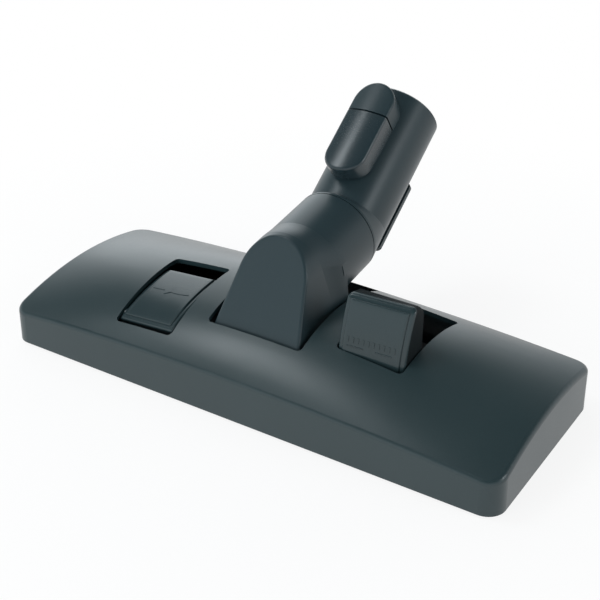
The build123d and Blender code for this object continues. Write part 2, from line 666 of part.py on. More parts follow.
def latch_plan(start, end, half_width, round_start, round_end):
    """Upright block over the socket with one rounded end in plan."""
    up = Plane(SOCKET_PLANE.origin, x_dir=(1, 0, 0), z_dir=SOCKET_PLANE.y_dir)
    sign = 1 if up.y_dir.dot(SOCKET_DIRECTION) > 0 else -1
    low = start + (half_width if round_start else 0)
    high = end - (half_width if round_end else 0)
    plan = Pos(0, sign * (low + high) / 2) * Rectangle(2 * half_width, high - low)
    if round_start:
        plan += Pos(0, sign * low) * Circle(half_width)
    if round_end:
        plan += Pos(0, sign * high) * Circle(half_width)
    return extrude(up * plan, amount=2 * LATCH_TOP_RADIUS)


def make_elbow_socket():
    """Swivel spigot, collar, bend and wand socket, with the latch fairing and the park plate."""
    spigot_start = SEAM_DISTANCE - SPIGOT_LENGTH
    collar_start = SEAM_DISTANCE + SEAM_GAP
    collar_end = collar_start + COLLAR_LENGTH
    ring = Wire.make_circle(NECK_RADIUS, NECK_PLANE.offset(collar_end))
    throat = Wire.make_circle(SOCKET_RADIUS, SOCKET_PLANE.offset(THROAT_DISTANCE))
    body = neck_rod(NECK_RADIUS, collar_start, collar_end) + Solid.make_loft([ring, throat])
    barrel = socket_rod(SOCKET_RADIUS, THROAT_DISTANCE, SOCKET_LENGTH)
    body += chamfer(barrel.edges().group_by(Axis(BEND_POINT, SOCKET_DIRECTION))[-1], RIM_CHAMFER)
    body += neck_rod(spigot_radius(), spigot_start, SEAM_DISTANCE + BEND_DISTANCE)
    fairing_end = LATCH_SEAM + FAIRING_LENGTH
    dome = latch_plan(LATCH_SEAM, fairing_end, LATCH_HALF_WIDTH, False, True)
    dome &= socket_rod(LATCH_TOP_RADIUS, LATCH_SEAM, fairing_end)
    body += round_crest(dome, LATCH_SEAM)
    body += park_plate()
    body += latch_lug()
    body -= neck_rod(spigot_radius() - SPIGOT_WALL, spigot_start, SEAM_DISTANCE + BEND_DISTANCE)
    body -= Pos(BEND_POINT) * Sphere(SOCKET_BORE - SOCKET_STEP)
    body -= socket_rod(SOCKET_BORE - SOCKET_STEP, 0, SOCKET_LENGTH)
    body -= socket_rod(SOCKET_BORE, SOCKET_LENGTH - SOCKET_DEPTH, SOCKET_LENGTH)
    start, end = snap_ring_span()
    groove = SNAP_RING_DEPTH / 2 + 2 * RUNNING_PLAY
    body -= neck_rod(spigot_radius(), start - RUNNING_PLAY, end + RUNNING_PLAY) - neck_rod(
        spigot_radius() - groove, start - RUNNING_PLAY, end + RUNNING_PLAY
    )
    start, end = felt_span()
    body -= neck_rod(spigot_radius(), start, end) - neck_rod(spigot_radius() - FELT_DEPTH, start, end)
    return body


def make_duct_seal():
    """Felt pad behind the neck's drum, hollowed to follow it."""
    rear = TROUGH_REAR - TROUGH_WALL
    front = TRUNNION_Y + DRUM_RADIUS / 2
    pad = box(-HOOD_HALF_WIDTH, HOOD_HALF_WIDTH, front, rear, PLATE_TOP, TRUNNION_Z)
    return pad - cross_bar(TRUNNION_Y, TRUNNION_Z, DRUM_RADIUS + BASE_PLAY, -HALF_WIDTH, HALF_WIDTH)


def socket_distance(edge):
    """Distance of an edge's middle from the socket axis."""
    offset = edge @ 0.5 - BEND_POINT
    return (offset - SOCKET_DIRECTION * offset.dot(SOCKET_DIRECTION)).length


def socket_travel(edge):
    """Distance of an edge's middle along the socket axis."""
    return (edge @ 0.5 - BEND_POINT).dot(SOCKET_DIRECTION)


def round_crest(block, seam):
    """Round the top rim of a latch block, apart from its edge at the seam."""
    floor = SOCKET_RADIUS + 2 * LATCH_WALL
    rim = block.edges().filter_by(lambda edge: socket_distance(edge) > floor)
    rim = rim.filter_by(lambda edge: abs(socket_travel(edge) - seam) > LATCH_WALL / 2)
    return fillet(rim.filter_by(lambda edge: edge.length > LATCH_WALL), LATCH_CREST_FILLET)


def socket_point(up, along):
    """Point in the middle plane at a height above the socket axis and a distance along it."""
    return BEND_POINT + SOCKET_PLANE.y_dir * up + SOCKET_DIRECTION * along


def latch_pin_rise():
    """Height of the latch pin over the socket axis."""
    return SOCKET_RADIUS + LATCH_PIN_RADIUS + LATCH_PIN_CLEARANCE


def latch_pin_point():
    """Middle of the latch pin."""
    return socket_point(latch_pin_rise(), LATCH_SEAM - LATCH_PIN_BACK)


def socket_slab(half_width, up0, up1, start, end):
    """Block square to the socket axis."""
    plan = SOCKET_PLANE.offset(start) * Pos(0, (up0 + up1) / 2) * Rectangle(2 * half_width, up1 - up0)
    return extrude(plan, amount=end - start)


def park_plate():
    """Flat plate under the socket on a narrow web."""
    low = -SOCKET_RADIUS - PLATE_STANDOFF - PLATE_THICK
    plate = socket_slab(PLATE_HALF_WIDTH, low, low + PLATE_THICK, PLATE_START, PLATE_START + PLATE_LENGTH)
    plate = fillet(plate.edges().filter_by(Axis(BEND_POINT, SOCKET_PLANE.y_dir)), PLATE_THICK)
    web_start = max(PLATE_START, THROAT_DISTANCE) + PLATE_THICK
    web_end = PLATE_START + PLATE_LENGTH - PLATE_THICK
    return plate + socket_slab(PLATE_HALF_WIDTH / 3, low, -SOCKET_BORE, web_start, web_end)


def latch_lug():
    """Rib on the socket that carries the latch pin."""
    pin = latch_pin_point()
    along = LATCH_SEAM - LATCH_PIN_BACK
    rib = socket_slab(LUG_HALF_WIDTH, SOCKET_BORE, latch_pin_rise(), along - LATCH_WALL, along + LATCH_WALL)
    start = pin - Vector(LUG_HALF_WIDTH, 0, 0)
    rib += rod(start, (1, 0, 0), LATCH_WALL, 2 * LUG_HALF_WIDTH)
    return rib - rod(start, (1, 0, 0), LATCH_PIN_RADIUS, 2 * LUG_HALF_WIDTH)


def make_latch_button():
    """Hollow press button hinged on the latch pin."""
    end = LATCH_SEAM - LATCH_GAP
    button = latch_plan(LATCH_FOOT, end, LATCH_HALF_WIDTH, True, False)
    button &= socket_rod(LATCH_TOP_RADIUS, LATCH_FOOT, end)
    button = round_crest(button, end)
    seat = socket_rod(SOCKET_RADIUS + LATCH_SEAT_GAP, -SOCKET_LENGTH, SOCKET_LENGTH)
    button -= seat
    button -= seat.rotate(Axis(latch_pin_point(), (1, 0, 0)), -LATCH_PRESS_ANGLE)
    inner_half = LATCH_HALF_WIDTH - LATCH_WALL
    room = latch_plan(LATCH_FOOT + LATCH_WALL, end - LATCH_WALL, inner_half, True, False)
    button -= room & socket_rod(LATCH_TOP_RADIUS - LATCH_WALL, LATCH_FOOT, end)
    half = LATCH_HALF_WIDTH - LATCH_PIN_COVER
    start = latch_pin_point() - Vector(half, 0, 0)
    return button - rod(start, (1, 0, 0), LATCH_PIN_RADIUS + RUNNING_PLAY, 2 * half)


def make_latch_pin():
    """Pin through the lug into the button's two walls."""
    half = LATCH_HALF_WIDTH - LATCH_PIN_COVER - RUNNING_PLAY
    return rod(latch_pin_point() - Vector(half, 0, 0), (1, 0, 0), LATCH_PIN_RADIUS, 2 * half)


def make_latch_spring():
    """Coil spring between the socket and the button's lower end."""
    low = SOCKET_RADIUS + SPRING_WIRE
    height = LATCH_TOP_RADIUS - LATCH_WALL - 2 * SPRING_WIRE - low
    foot = Plane(socket_point(low, SPRING_PLACE), x_dir=(1, 0, 0), z_dir=SOCKET_PLANE.y_dir)
    path = Helix(pitch=height / SPRING_TURNS, height=height, radius=SPRING_RADIUS)
    wire = Plane(path @ 0, z_dir=path % 0) * Circle(SPRING_WIRE)
    return foot.location * sweep(wire, path=path)


def make_wheel(side):
    """Small rear wheel with a crowned tread and a recessed web."""
    half = WHEEL_WIDTH / 2
    hub = 2 * AXLE_RADIUS
    rim = WHEEL_RADIUS - AXLE_RADIUS
    crown_drop = AXLE_RADIUS / 4
    profile = Polyline(
        [
            (AXLE_RADIUS + RUNNING_PLAY, -half),
            (hub, -half),
            (hub, -half / 3),
            (rim, -half / 3),
            (rim, -half),
            (WHEEL_RADIUS - crown_drop, -half),
        ]
    )
    edge = WHEEL_RADIUS - crown_drop
    tread = ThreePointArc((edge, -half), (WHEEL_RADIUS, 0), (edge, half))
    back = Polyline(
        [
            (WHEEL_RADIUS - crown_drop, half),
            (rim, half),
            (rim, half / 3),
            (hub, half / 3),
            (hub, half),
            (AXLE_RADIUS + RUNNING_PLAY, half),
            (AXLE_RADIUS + RUNNING_PLAY, -half),
        ]
    )
    section = make_face(profile.edges() + tread.edges() + back.edges())
    wheel = revolve(section, axis=Axis.Y)
    return Pos(side * WHEEL_X, WHEEL_Y, WHEEL_RADIUS) * Rot(0, 0, 90) * wheel


def make_axle(side):
    """Axle pin of one rear wheel."""
    half = WHEEL_WIDTH / 2 + WHEEL_SIDE_PLAY + FORK_WALL
    return cross_bar(WHEEL_Y, WHEEL_RADIUS, AXLE_RADIUS, side * WHEEL_X - half, side * WHEEL_X + half)


def make_cover_screws():
    """Four screws from below the base into the cover's bosses."""
    length = FRONT_HEIGHT / 2
    screws = []
    for x, y in screw_places():
        screw = rod((x, y, PLATE_LOW), (0, 0, 1), SCREW_HEAD_RADIUS, SCREW_HEAD)
        slot = SlotOverall(2 * SCREW_RADIUS, SCREW_RADIUS / 2)
        screw -= Pos(x, y, PLATE_LOW) * extrude(slot, SCREW_HEAD / 2)
        screws.append(screw + rod((x, y, PLATE_LOW + SCREW_HEAD / 2), (0, 0, 1), SCREW_RADIUS, length))
    return Compound(children=screws)


def make_bearing_cap(side):
    """Cap that closes a trunnion saddle."""
    return bearing_block(side, TRUNNION_Z, TROUGH_TOP + TROUGH_WALL)


def main():
    """Build every piece and write one file for each."""
    left = (-PEDAL_X, LEFT_PEDAL_TAIL, LEFT_PEDAL_ANGLE)
    right = (PEDAL_X, RIGHT_PEDAL_TAIL, RIGHT_PEDAL_ANGLE)
    lint_front, lint_rear = lint_places()
    pieces = {
        "top_cover": make_top_cover(),
        "base_housing": make_base_housing(),
        "sole_plate": make_sole_plate(),
        "front_lint_strip": make_lint_strip(lint_front),
        "rear_lint_strip": make_lint_strip(lint_rear),
        "brush_carriage": make_brush_carriage(),
        "front_bristles": make_bristles(FRONT_BRUSH_Y),
        "rear_bristles": make_bristles(REAR_BRUSH_Y),
        "left_pedal": make_pedal(pedal_place(*left)),
        "right_pedal": make_pedal(pedal_place(*right)),
        "left_pedal_pin": make_pedal_pin(*left),
        "right_pedal_pin": make_pedal_pin(*right),
        "neck_hood": make_neck_hood(),
        "left_bearing_cap": make_bearing_cap(-1),
        "right_bearing_cap": make_bearing_cap(1),
        "duct_seal": make_duct_seal(),
        "swivel_ring": make_swivel_ring(),
        "swivel_felt": make_swivel_felt(),
        "elbow_socket": make_elbow_socket(),
        "latch_button": make_latch_button(),
        "latch_pin": make_latch_pin(),
        "latch_spring": make_latch_spring(),
        "left_wheel": make_wheel(-1),
        "right_wheel": make_wheel(1),
        "left_axle": make_axle(-1),
        "right_axle": make_axle(1),
        "cover_screws": make_cover_screws(),
    }
    os.makedirs("parts", exist_ok=True)
    for name, shape in pieces.items():
        export_step(shape, f"parts/{name}.step")


main()
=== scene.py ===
"""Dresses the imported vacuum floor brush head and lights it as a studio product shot."""

import json
import logging
import math
from dataclasses import dataclass, field
from enum import Enum
from functools import cache
from typing import Any, Optional, Sequence

import bmesh
import bpy
from bpy.types import ID, Material, Node, NodeSocket, NodeTree, Object
from mathutils import Matrix, Vector


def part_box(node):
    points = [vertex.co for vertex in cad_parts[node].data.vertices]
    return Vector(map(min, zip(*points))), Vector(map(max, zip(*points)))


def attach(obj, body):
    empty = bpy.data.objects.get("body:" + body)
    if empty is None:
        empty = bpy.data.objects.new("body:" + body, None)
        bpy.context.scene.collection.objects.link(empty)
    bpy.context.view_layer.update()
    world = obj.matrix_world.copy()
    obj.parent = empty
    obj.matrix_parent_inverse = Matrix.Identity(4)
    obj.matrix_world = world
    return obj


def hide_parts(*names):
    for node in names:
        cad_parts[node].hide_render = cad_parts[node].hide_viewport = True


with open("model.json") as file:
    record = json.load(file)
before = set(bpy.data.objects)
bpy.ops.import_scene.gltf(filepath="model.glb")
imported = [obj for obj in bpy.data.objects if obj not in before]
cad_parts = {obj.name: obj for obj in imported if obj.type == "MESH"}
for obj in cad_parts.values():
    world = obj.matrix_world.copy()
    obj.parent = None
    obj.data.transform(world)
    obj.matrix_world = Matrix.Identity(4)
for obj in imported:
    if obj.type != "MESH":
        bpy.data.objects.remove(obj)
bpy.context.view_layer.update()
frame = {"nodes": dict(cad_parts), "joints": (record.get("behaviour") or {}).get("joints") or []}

LOG = logging.getLogger("floor_head")
MM = 0.001
MM2_PER_M2 = 1e6
QUARTER_DEG = 90.0
WHITE = (1.0, 1.0, 1.0, 1.0)
Colour = tuple[float, float, float]
Flat = tuple[float, float]
Line = tuple[Flat, ...]
Place = tuple[float, float, float]
Recipe = tuple[NodeTree, dict[str, Any], dict[str, float]]


class Side(Enum):
    """The two pedals, by the hand they lie on when seen from the front."""

    LEFT = "left"
    RIGHT = "right"


class Row(Enum):
    """The rows of bristle and of lint pile, by where they lie on the sole."""

    FRONT = "front"
    REAR = "rear"


class Socket(Enum):
    """The kinds of socket that the node groups have."""

    FLOAT = "NodeSocketFloat"
    INT = "NodeSocketInt"
    VECTOR = "NodeSocketVector"
    COLOUR = "NodeSocketColor"
    MATERIAL = "NodeSocketMaterial"
    GEOMETRY = "NodeSocketGeometry"


def add_sockets(tree: NodeTree, way: str, names: dict[Socket, Sequence[str]]) -> dict[str, str]:
    """Adds named sockets to a node group.

    Args:
        tree: The group.
        way: INPUT or OUTPUT.
        names: The names of the new sockets, by kind.

    Returns:
        Each socket's identifier, by name.
    """
    return {
        name: tree.interface.new_socket(name, in_out=way, socket_type=kind.value).identifier
        for kind, labels in names.items()
        for name in labels
    }


def show(name: str, data: ID) -> Object:
    """Puts a new object in the scene.

    Args:
        name: The object's name.
        data: Its mesh, light or camera.

    Returns:
        The object.
    """
    piece = bpy.data.objects.new(name, data)
    bpy.context.scene.collection.objects.link(piece)
    return piece


class Graph:
    """A thin wrapper that places and links nodes of one node tree."""

    def __init__(self, tree: NodeTree) -> None:
        """Keeps the tree that is being built.

        Args:
            tree: A material, world, shader group or geometry node tree.
        """
        self.tree = tree

    @classmethod
    def blank(cls, owner: ID) -> "Graph":
        """Empties the node tree of a material or a world.

        Args:
            owner: The material or world.

        Returns:
            The graph of its empty tree.
        """
        owner.use_nodes = True
        owner.node_tree.nodes.clear()
        return cls(owner.node_tree)

    def add(self, kind: str, inputs: Optional[dict[Any, Any]] = None, **settings: Any) -> Node:
        """Adds a node, with its settings and the values or links of its inputs.

        Args:
            kind: The node's class name.
            inputs: Socket name or index to a value, or to an output socket that feeds it.
            **settings: Attributes of the node.

        Returns:
            The new node.
        """
        node = self.tree.nodes.new(kind)
        for key, value in settings.items():
            setattr(node, key, value)
        for key, value in (inputs or {}).items():
            self.feed(node.inputs[key], value)
        return node

    def feed(self, socket: NodeSocket, value: Any) -> None:
        """Links an output socket to an input, or writes a plain value on it.

        Args:
            socket: The input socket.
            value: An output socket, or a value of the input's type.
        """
        if isinstance(value, NodeSocket):
            self.tree.links.new(value, socket)
        else:
            socket.default_value = value

    def math(self, operation: str, a: Any, b: Any) -> NodeSocket:
        """Adds a Math node.

        Args:
            operation: The node's operation.
            a: First value or socket.
            b: Second value or socket.

        Returns:
            The node's output socket.
        """
        return self.add("ShaderNodeMath", {0: a, 1: b}, operation=operation).outputs[0]

    def ramp(self, value: Any, source: Flat, target: Flat) -> NodeSocket:
        """Adds a clamped Map Range node.

        Args:
            value: The value or socket to map.
            source: Start and end of the range that is read.
            target: What the start and the end become.

        Returns:
            The node's output socket.
        """
        inputs = {0: value, 1: source[0], 2: source[1], 3: target[0], 4: target[1]}
        return self.add("ShaderNodeMapRange", inputs).outputs[0]

    def blend(self, share: Any, first: Any, second: Any) -> NodeSocket:
        """Adds a Mix node between two colours.

        Args:
            share: How much of the second colour is taken.
            first: First colour or socket.
            second: Second colour or socket.

        Returns:
            The node's colour socket.
        """
        inputs = {0: share, 6: first, 7: second}
        return self.add("ShaderNodeMix", inputs, data_type="RGBA").outputs[2]

    def noise(self, vector: Any, scale: Any, detail: float, roughness: float = 0.5) -> NodeSocket:
        """Adds a Noise Texture node.

        Args:
            vector: The coordinate socket.
            scale: The scale or its socket, per metre.
            detail: Number of octaves.
            roughness: Weight of each octave against the one before.

        Returns:
            The node's value socket.
        """
        inputs = {"Vector": vector, "Scale": scale, "Detail": detail, "Roughness": roughness}
        return self.add("ShaderNodeTexNoise", inputs).outputs["Fac"]


class ShaderGroups:
    """Shared shader node groups, each built the first time that a finish asks for it."""

    noise_range: Flat = (0.3, 0.7)
    noise_middle: float = 0.5
    speck_range: Flat = (0.35, 0.7)
    speck_share: float = 0.45
    cloud_share: float = 0.55
    flow_swing: float = 0.5
    grain_swing: float = 0.4
    line_stretch: Place = (0.012, 1.0, 1.0)
    cell_reach: float = 0.9

    @staticmethod
    def start(
        name: str, second: str, numbers: Sequence[str], results: Sequence[str]
    ) -> tuple[Graph, Any, Any]:
        """Begins a shader group of a vector, two colours and some numbers, which gives a colour.

        Args:
            name: The group's name.
            second: The second colour's name.
            numbers: The names of its number inputs.
            results: The names of its number outputs.

        Returns:
            The graph, the sockets that bring its inputs and the sockets that take its outputs.
        """
        tree = bpy.data.node_groups.new(name, "ShaderNodeTree")
        colours = ["Colour", second]
        inputs = {Socket.VECTOR: ["Vector"], Socket.COLOUR: colours, Socket.FLOAT: numbers}
        add_sockets(tree, "INPUT", inputs)
        add_sockets(tree, "OUTPUT", {Socket.COLOUR: ["Colour"], Socket.FLOAT: results})
        graph = Graph(tree)
        return graph, graph.add("NodeGroupInput").outputs, graph.add("NodeGroupOutput").inputs

    @classmethod
    @cache
    def moulded_grain(cls) -> NodeTree:
        """Fine spark-eroded grain of a moulded surface.

        Returns:
            The group: a tinted colour, a roughness and a height from one vector.
        """
        graph, given, leave = cls.start(
            "moulded_grain",
            "Pale",
            ["Grain per metre", "Flow per metre", "Roughness", "Spread"],
            ["Roughness", "Height"],
        )
        vector = given["Vector"]
        grain = graph.noise(vector, given["Grain per metre"], detail=2.0, roughness=0.55)
        flow = graph.noise(vector, given["Flow per metre"], detail=3.0)
        speck = graph.ramp(grain, cls.speck_range, (0.0, cls.speck_share))
        cloud = graph.ramp(flow, cls.noise_range, (0.0, cls.cloud_share))
        share = graph.math("ADD", speck, cloud)
        graph.feed(leave["Colour"], graph.blend(share, given["Colour"], given["Pale"]))
        slow = graph.ramp(flow, cls.noise_range, (-cls.flow_swing, cls.flow_swing))
        fine = graph.ramp(grain, cls.noise_range, (-cls.grain_swing, cls.grain_swing))
        wide = graph.math("MULTIPLY", graph.math("ADD", slow, fine), given["Spread"])
        graph.feed(leave["Roughness"], graph.math("ADD", given["Roughness"], wide))
        graph.feed(leave["Height"], grain)
        return graph.tree

    @classmethod
    @cache
    def drawn_lines(cls) -> NodeTree:
        """Fine parallel lines of brushed or drawn metal.

        Returns:
            The group: a colour, a roughness and a height from one vector.
        """
        graph, given, leave = cls.start(
            "drawn_lines",
            "Dark",
            ["Lines per metre", "Roughness", "Spread"],
            ["Roughness", "Height"],
        )
        stretch = graph.add(
            "ShaderNodeMapping", {"Vector": given["Vector"], "Scale": cls.line_stretch}
        ).outputs["Vector"]
        lines = graph.noise(stretch, given["Lines per metre"], detail=3.0, roughness=0.6)
        share = graph.ramp(lines, cls.noise_range, (0.0, 1.0))
        graph.feed(leave["Colour"], graph.blend(share, given["Dark"], given["Colour"]))
        swing = graph.math("SUBTRACT", lines, cls.noise_middle)
        wide = graph.math("MULTIPLY", swing, given["Spread"])
        graph.feed(leave["Roughness"], graph.math("ADD", given["Roughness"], wide))
        graph.feed(leave["Height"], lines)
        return graph.tree

    @classmethod
    @cache
    def fibre_speckle(cls) -> NodeTree:
        """Uneven dye of fibres that lie close together.

        Returns:
            The group: a colour and a height from one vector.
        """
        graph, given, leave = cls.start("fibre_speckle", "Pale", ["Fibres per metre"], ["Height"])
        vector, scale = given["Vector"], given["Fibres per metre"]
        cells = graph.add(
            "ShaderNodeTexVoronoi", {"Vector": vector, "Scale": scale, "Randomness": 1.0}
        )
        fuzz = graph.noise(vector, scale, detail=4.0)
        share = graph.ramp(cells.outputs["Distance"], (0.0, cls.cell_reach), (0.0, 1.0))
        graph.feed(leave["Colour"], graph.blend(share, given["Colour"], given["Pale"]))
        graph.feed(leave["Height"], graph.math("ADD", fuzz, share))
        return graph.tree


@dataclass(frozen=True)
class Finish:
    """A finish by name: two tones, the scale of its pattern and the bump of its height."""

    name: str
    colour: Colour
    second: Colour
    scale: float
    roughness: float
    bump_mm: float

    def recipe(self) -> Recipe:
        """Gives what the material is made of.

        Returns:
            The shared group, its inputs' values and the constants on the shader's own sockets.
        """
        raise NotImplementedError

    def material(self) -> Material:
        """Builds the material on Object coordinates.

        Returns:
            The material.
        """
        material = bpy.data.materials.new(self.name)
        material.diffuse_color = (*self.colour, 1.0)
        graph = Graph.blank(material)
        tree, values, constants = self.recipe()
        shader = graph.add("ShaderNodeBsdfPrincipled", constants)
        graph.add("ShaderNodeOutputMaterial", {"Surface": shader.outputs["BSDF"]})
        place = graph.add("ShaderNodeTexCoord").outputs["Object"]
        inputs = {"Vector": place, "Colour": (*self.colour, 1.0), **values}
        group = graph.add("ShaderNodeGroup", inputs, node_tree=tree).outputs
        graph.feed(shader.inputs["Base Color"], group["Colour"])
        graph.feed(shader.inputs["Roughness"], group.get("Roughness", self.roughness))
        bump = graph.add(
            "ShaderNodeBump",
            {"Height": group["Height"], "Strength": 1.0, "Distance": self.bump_mm * MM},
        )
        graph.feed(shader.inputs["Normal"], bump.outputs["Normal"])
        return material


@dataclass(frozen=True)
class MouldedPlastic(Finish):
    """Moulded plastic with a fine grain and a faint flow of tone."""

    spread: float
    flow: float = 14.0
    gloss: float = 0.5
    refraction: float = 1.52

    def recipe(self) -> Recipe:
        """Gives the grain, with the plastic's refraction and gloss."""
        values = {
            "Pale": (*self.second, 1.0),
            "Grain per metre": self.scale,
            "Flow per metre": self.flow,
            "Roughness": self.roughness,
            "Spread": self.spread,
        }
        constants = {"IOR": self.refraction, "Specular IOR Level": self.gloss}
        return ShaderGroups.moulded_grain(), values, constants


@dataclass(frozen=True)
class LinedSteel(Finish):
    """Steel with fine lines along X, as brushed sheet or drawn wire has."""

    spread: float

    def recipe(self) -> Recipe:
        """Gives the lines, on a metal."""
        values = {
            "Dark": (*self.second, 1.0),
            "Lines per metre": self.scale,
            "Roughness": self.roughness,
            "Spread": self.spread,
        }
        return ShaderGroups.drawn_lines(), values, {"Metallic": 1.0}


@dataclass(frozen=True)
class Fibre(Finish):
    """Felt, lint pile or bristle, with uneven dye and a soft sheen."""

    sheen: float

    def recipe(self) -> Recipe:
        """Gives the speckle, with the fibre's sheen."""
        values = {"Pale": (*self.second, 1.0), "Fibres per metre": self.scale}
        return ShaderGroups.fibre_speckle(), values, {"Sheen Weight": self.sheen}


class Finishes:
    """Every finish of the head. All but the painted-shade finish of the pedal flanks are the
    record's material slots.
    """

    table: tuple[Finish, ...] = (
        MouldedPlastic(
            "cover_abs", (0.016, 0.032, 0.036), (0.022, 0.040, 0.044),
            scale=1500.0, roughness=0.33, spread=0.05, bump_mm=0.004,
        ),
        MouldedPlastic(
            "neck_abs", (0.018, 0.033, 0.039), (0.023, 0.040, 0.046),
            scale=1700.0, roughness=0.36, spread=0.05, bump_mm=0.004, gloss=0.36,
        ),
        MouldedPlastic(
            "latch_abs", (0.015, 0.028, 0.034), (0.020, 0.035, 0.041),
            scale=2200.0, roughness=0.27, spread=0.03, bump_mm=0.001,
        ),
        MouldedPlastic(
            "pedal_abs", (0.016, 0.031, 0.035), (0.021, 0.038, 0.042),
            scale=2200.0, roughness=0.24, spread=0.03, bump_mm=0.001,
        ),
        # Painted shade: a near-black, matte finish on the pedal keys' outer walls, which stands in
        # for the shade inside the pedal openings.
        MouldedPlastic(
            "pedal_flank_painted_shade", (0.005, 0.008, 0.009), (0.007, 0.011, 0.012),
            scale=1700.0, roughness=0.6, spread=0.05, bump_mm=0.002, gloss=0.12,
        ),
        MouldedPlastic(
            "base_abs", (0.010, 0.011, 0.012), (0.014, 0.015, 0.016),
            scale=1500.0, roughness=0.55, spread=0.1, bump_mm=0.02,
        ),
        MouldedPlastic(
            "wheel_rubber", (0.018, 0.018, 0.019), (0.026, 0.026, 0.027),
            scale=1100.0, roughness=0.7, spread=0.12, bump_mm=0.04,
        ),
        LinedSteel(
            "sole_steel", (0.62, 0.62, 0.61), (0.50, 0.50, 0.49),
            scale=1900.0, roughness=0.30, spread=0.22, bump_mm=0.008,
        ),
        LinedSteel(
            "pin_steel", (0.55, 0.55, 0.56), (0.46, 0.46, 0.47),
            scale=2400.0, roughness=0.28, spread=0.2, bump_mm=0.006,
        ),
        Fibre(
            "felt", (0.05, 0.05, 0.05), (0.11, 0.11, 0.11),
            scale=1400.0, roughness=0.95, bump_mm=0.15, sheen=0.3,
        ),
        Fibre(
            "lint_pile", (0.22, 0.012, 0.014), (0.38, 0.03, 0.03),
            scale=1500.0, roughness=0.9, bump_mm=0.1, sheen=0.4,
        ),
        Fibre(
            "bristle", (0.016, 0.016, 0.017), (0.035, 0.035, 0.037),
            scale=1200.0, roughness=0.5, bump_mm=0.02, sheen=0.1,
        ),
    )

    @classmethod
    @cache
    def get(cls, slot: str) -> Material:
        """Gives a finish's material, built once.

        Args:
            slot: The finish's name.

        Returns:
            The material.
        """
        return next(finish for finish in cls.table if finish.name == slot).material()


class Pattern:
    """A geometry node tree with named inputs, turned into a plain mesh piece."""

    def __init__(self, name: str, inputs: dict[Socket, Sequence[str]]) -> None:
        """Starts a tree with its named inputs, a Finish and a geometry output.

        Args:
            name: The tree's name.
            inputs: The names of its other inputs, by kind.
        """
        self.tree = bpy.data.node_groups.new(name, "GeometryNodeTree")
        add_sockets(self.tree, "OUTPUT", {Socket.GEOMETRY: ["Geometry"]})
        names = {**inputs, Socket.MATERIAL: ["Finish"]}
        self.sockets = add_sockets(self.tree, "INPUT", names)
        self.graph = Graph(self.tree)
        self.given = self.graph.add("NodeGroupInput").outputs

    def draw(self, low: Any, high: Any) -> NodeSocket:
        """Adds a random number, or a random vector, for each element.

        Args:
            low: The least number, vector or vector socket.
            high: The greatest, of the same kind.

        Returns:
            The socket of the random value.
        """
        number = isinstance(low, float)
        first = 2 if number else 0
        node = self.graph.add(
            "FunctionNodeRandomValue",
            {first: low, first + 1: high, "Seed": self.given["Seed"]},
            data_type="FLOAT" if number else "FLOAT_VECTOR",
        )
        return node.outputs[1 if number else 0]

    def grid(self, along: Any, across: Any) -> NodeSocket:
        """Adds a flat grid of the pattern's Length and Width.

        Args:
            along: Number of points along X, or its socket.
            across: Number of points along Y, or its socket.

        Returns:
            The mesh socket.
        """
        sizes = {"Size X": self.given["Length"], "Size Y": self.given["Width"]}
        inputs = {**sizes, "Vertices X": along, "Vertices Y": across}
        return self.graph.add("GeometryNodeMeshGrid", inputs).outputs["Mesh"]

    def cone(self, sides: int, tip: float) -> NodeSocket:
        """Adds one tapered fibre of the pattern's Radius and Drop.

        Args:
            sides: Number of sides.
            tip: The tip's radius as a share of the root's.

        Returns:
            The mesh socket.
        """
        inputs = {
            "Vertices": sides,
            "Radius Top": self.graph.math("MULTIPLY", self.given["Radius"], tip),
            "Radius Bottom": self.given["Radius"],
            "Depth": self.given["Drop"],
        }
        return self.graph.add("GeometryNodeMeshCone", inputs).outputs["Mesh"]

    def close(self, instances: dict[str, NodeSocket]) -> None:
        """Puts instances on points, realizes them, sets the Finish and ends the tree.

        Args:
            instances: The inputs of Instance on Points.
        """
        laid = self.graph.add("GeometryNodeInstanceOnPoints", instances).outputs["Instances"]
        real = self.graph.add("GeometryNodeRealizeInstances", {"Geometry": laid})
        dressed = self.graph.add(
            "GeometryNodeSetMaterial",
            {"Geometry": real.outputs[0], "Material": self.given["Finish"]},
        )
        self.graph.add("NodeGroupOutput", {0: dressed.outputs[0]})

    def mesh(self, name: str, values: dict[str, Any]) -> Object:
        """Runs the tree once and keeps its result as a plain mesh.

        Args:
            name: The new piece's name.
            values: Input name to value.

        Returns:
            An object at the origin with a plain mesh and no modifier.
        """
        piece = show(name, bpy.data.meshes.new(name))
        modifier = piece.modifiers.new("pattern", "NODES")
        modifier.node_group = self.tree
        for label, value in values.items():
            modifier[self.sockets[label]] = value
        graph = bpy.context.evaluated_depsgraph_get()
        result = bpy.data.meshes.new_from_object(piece.evaluated_get(graph))
        piece.modifiers.remove(modifier)
        piece.data = result
        result.name = name
        return piece


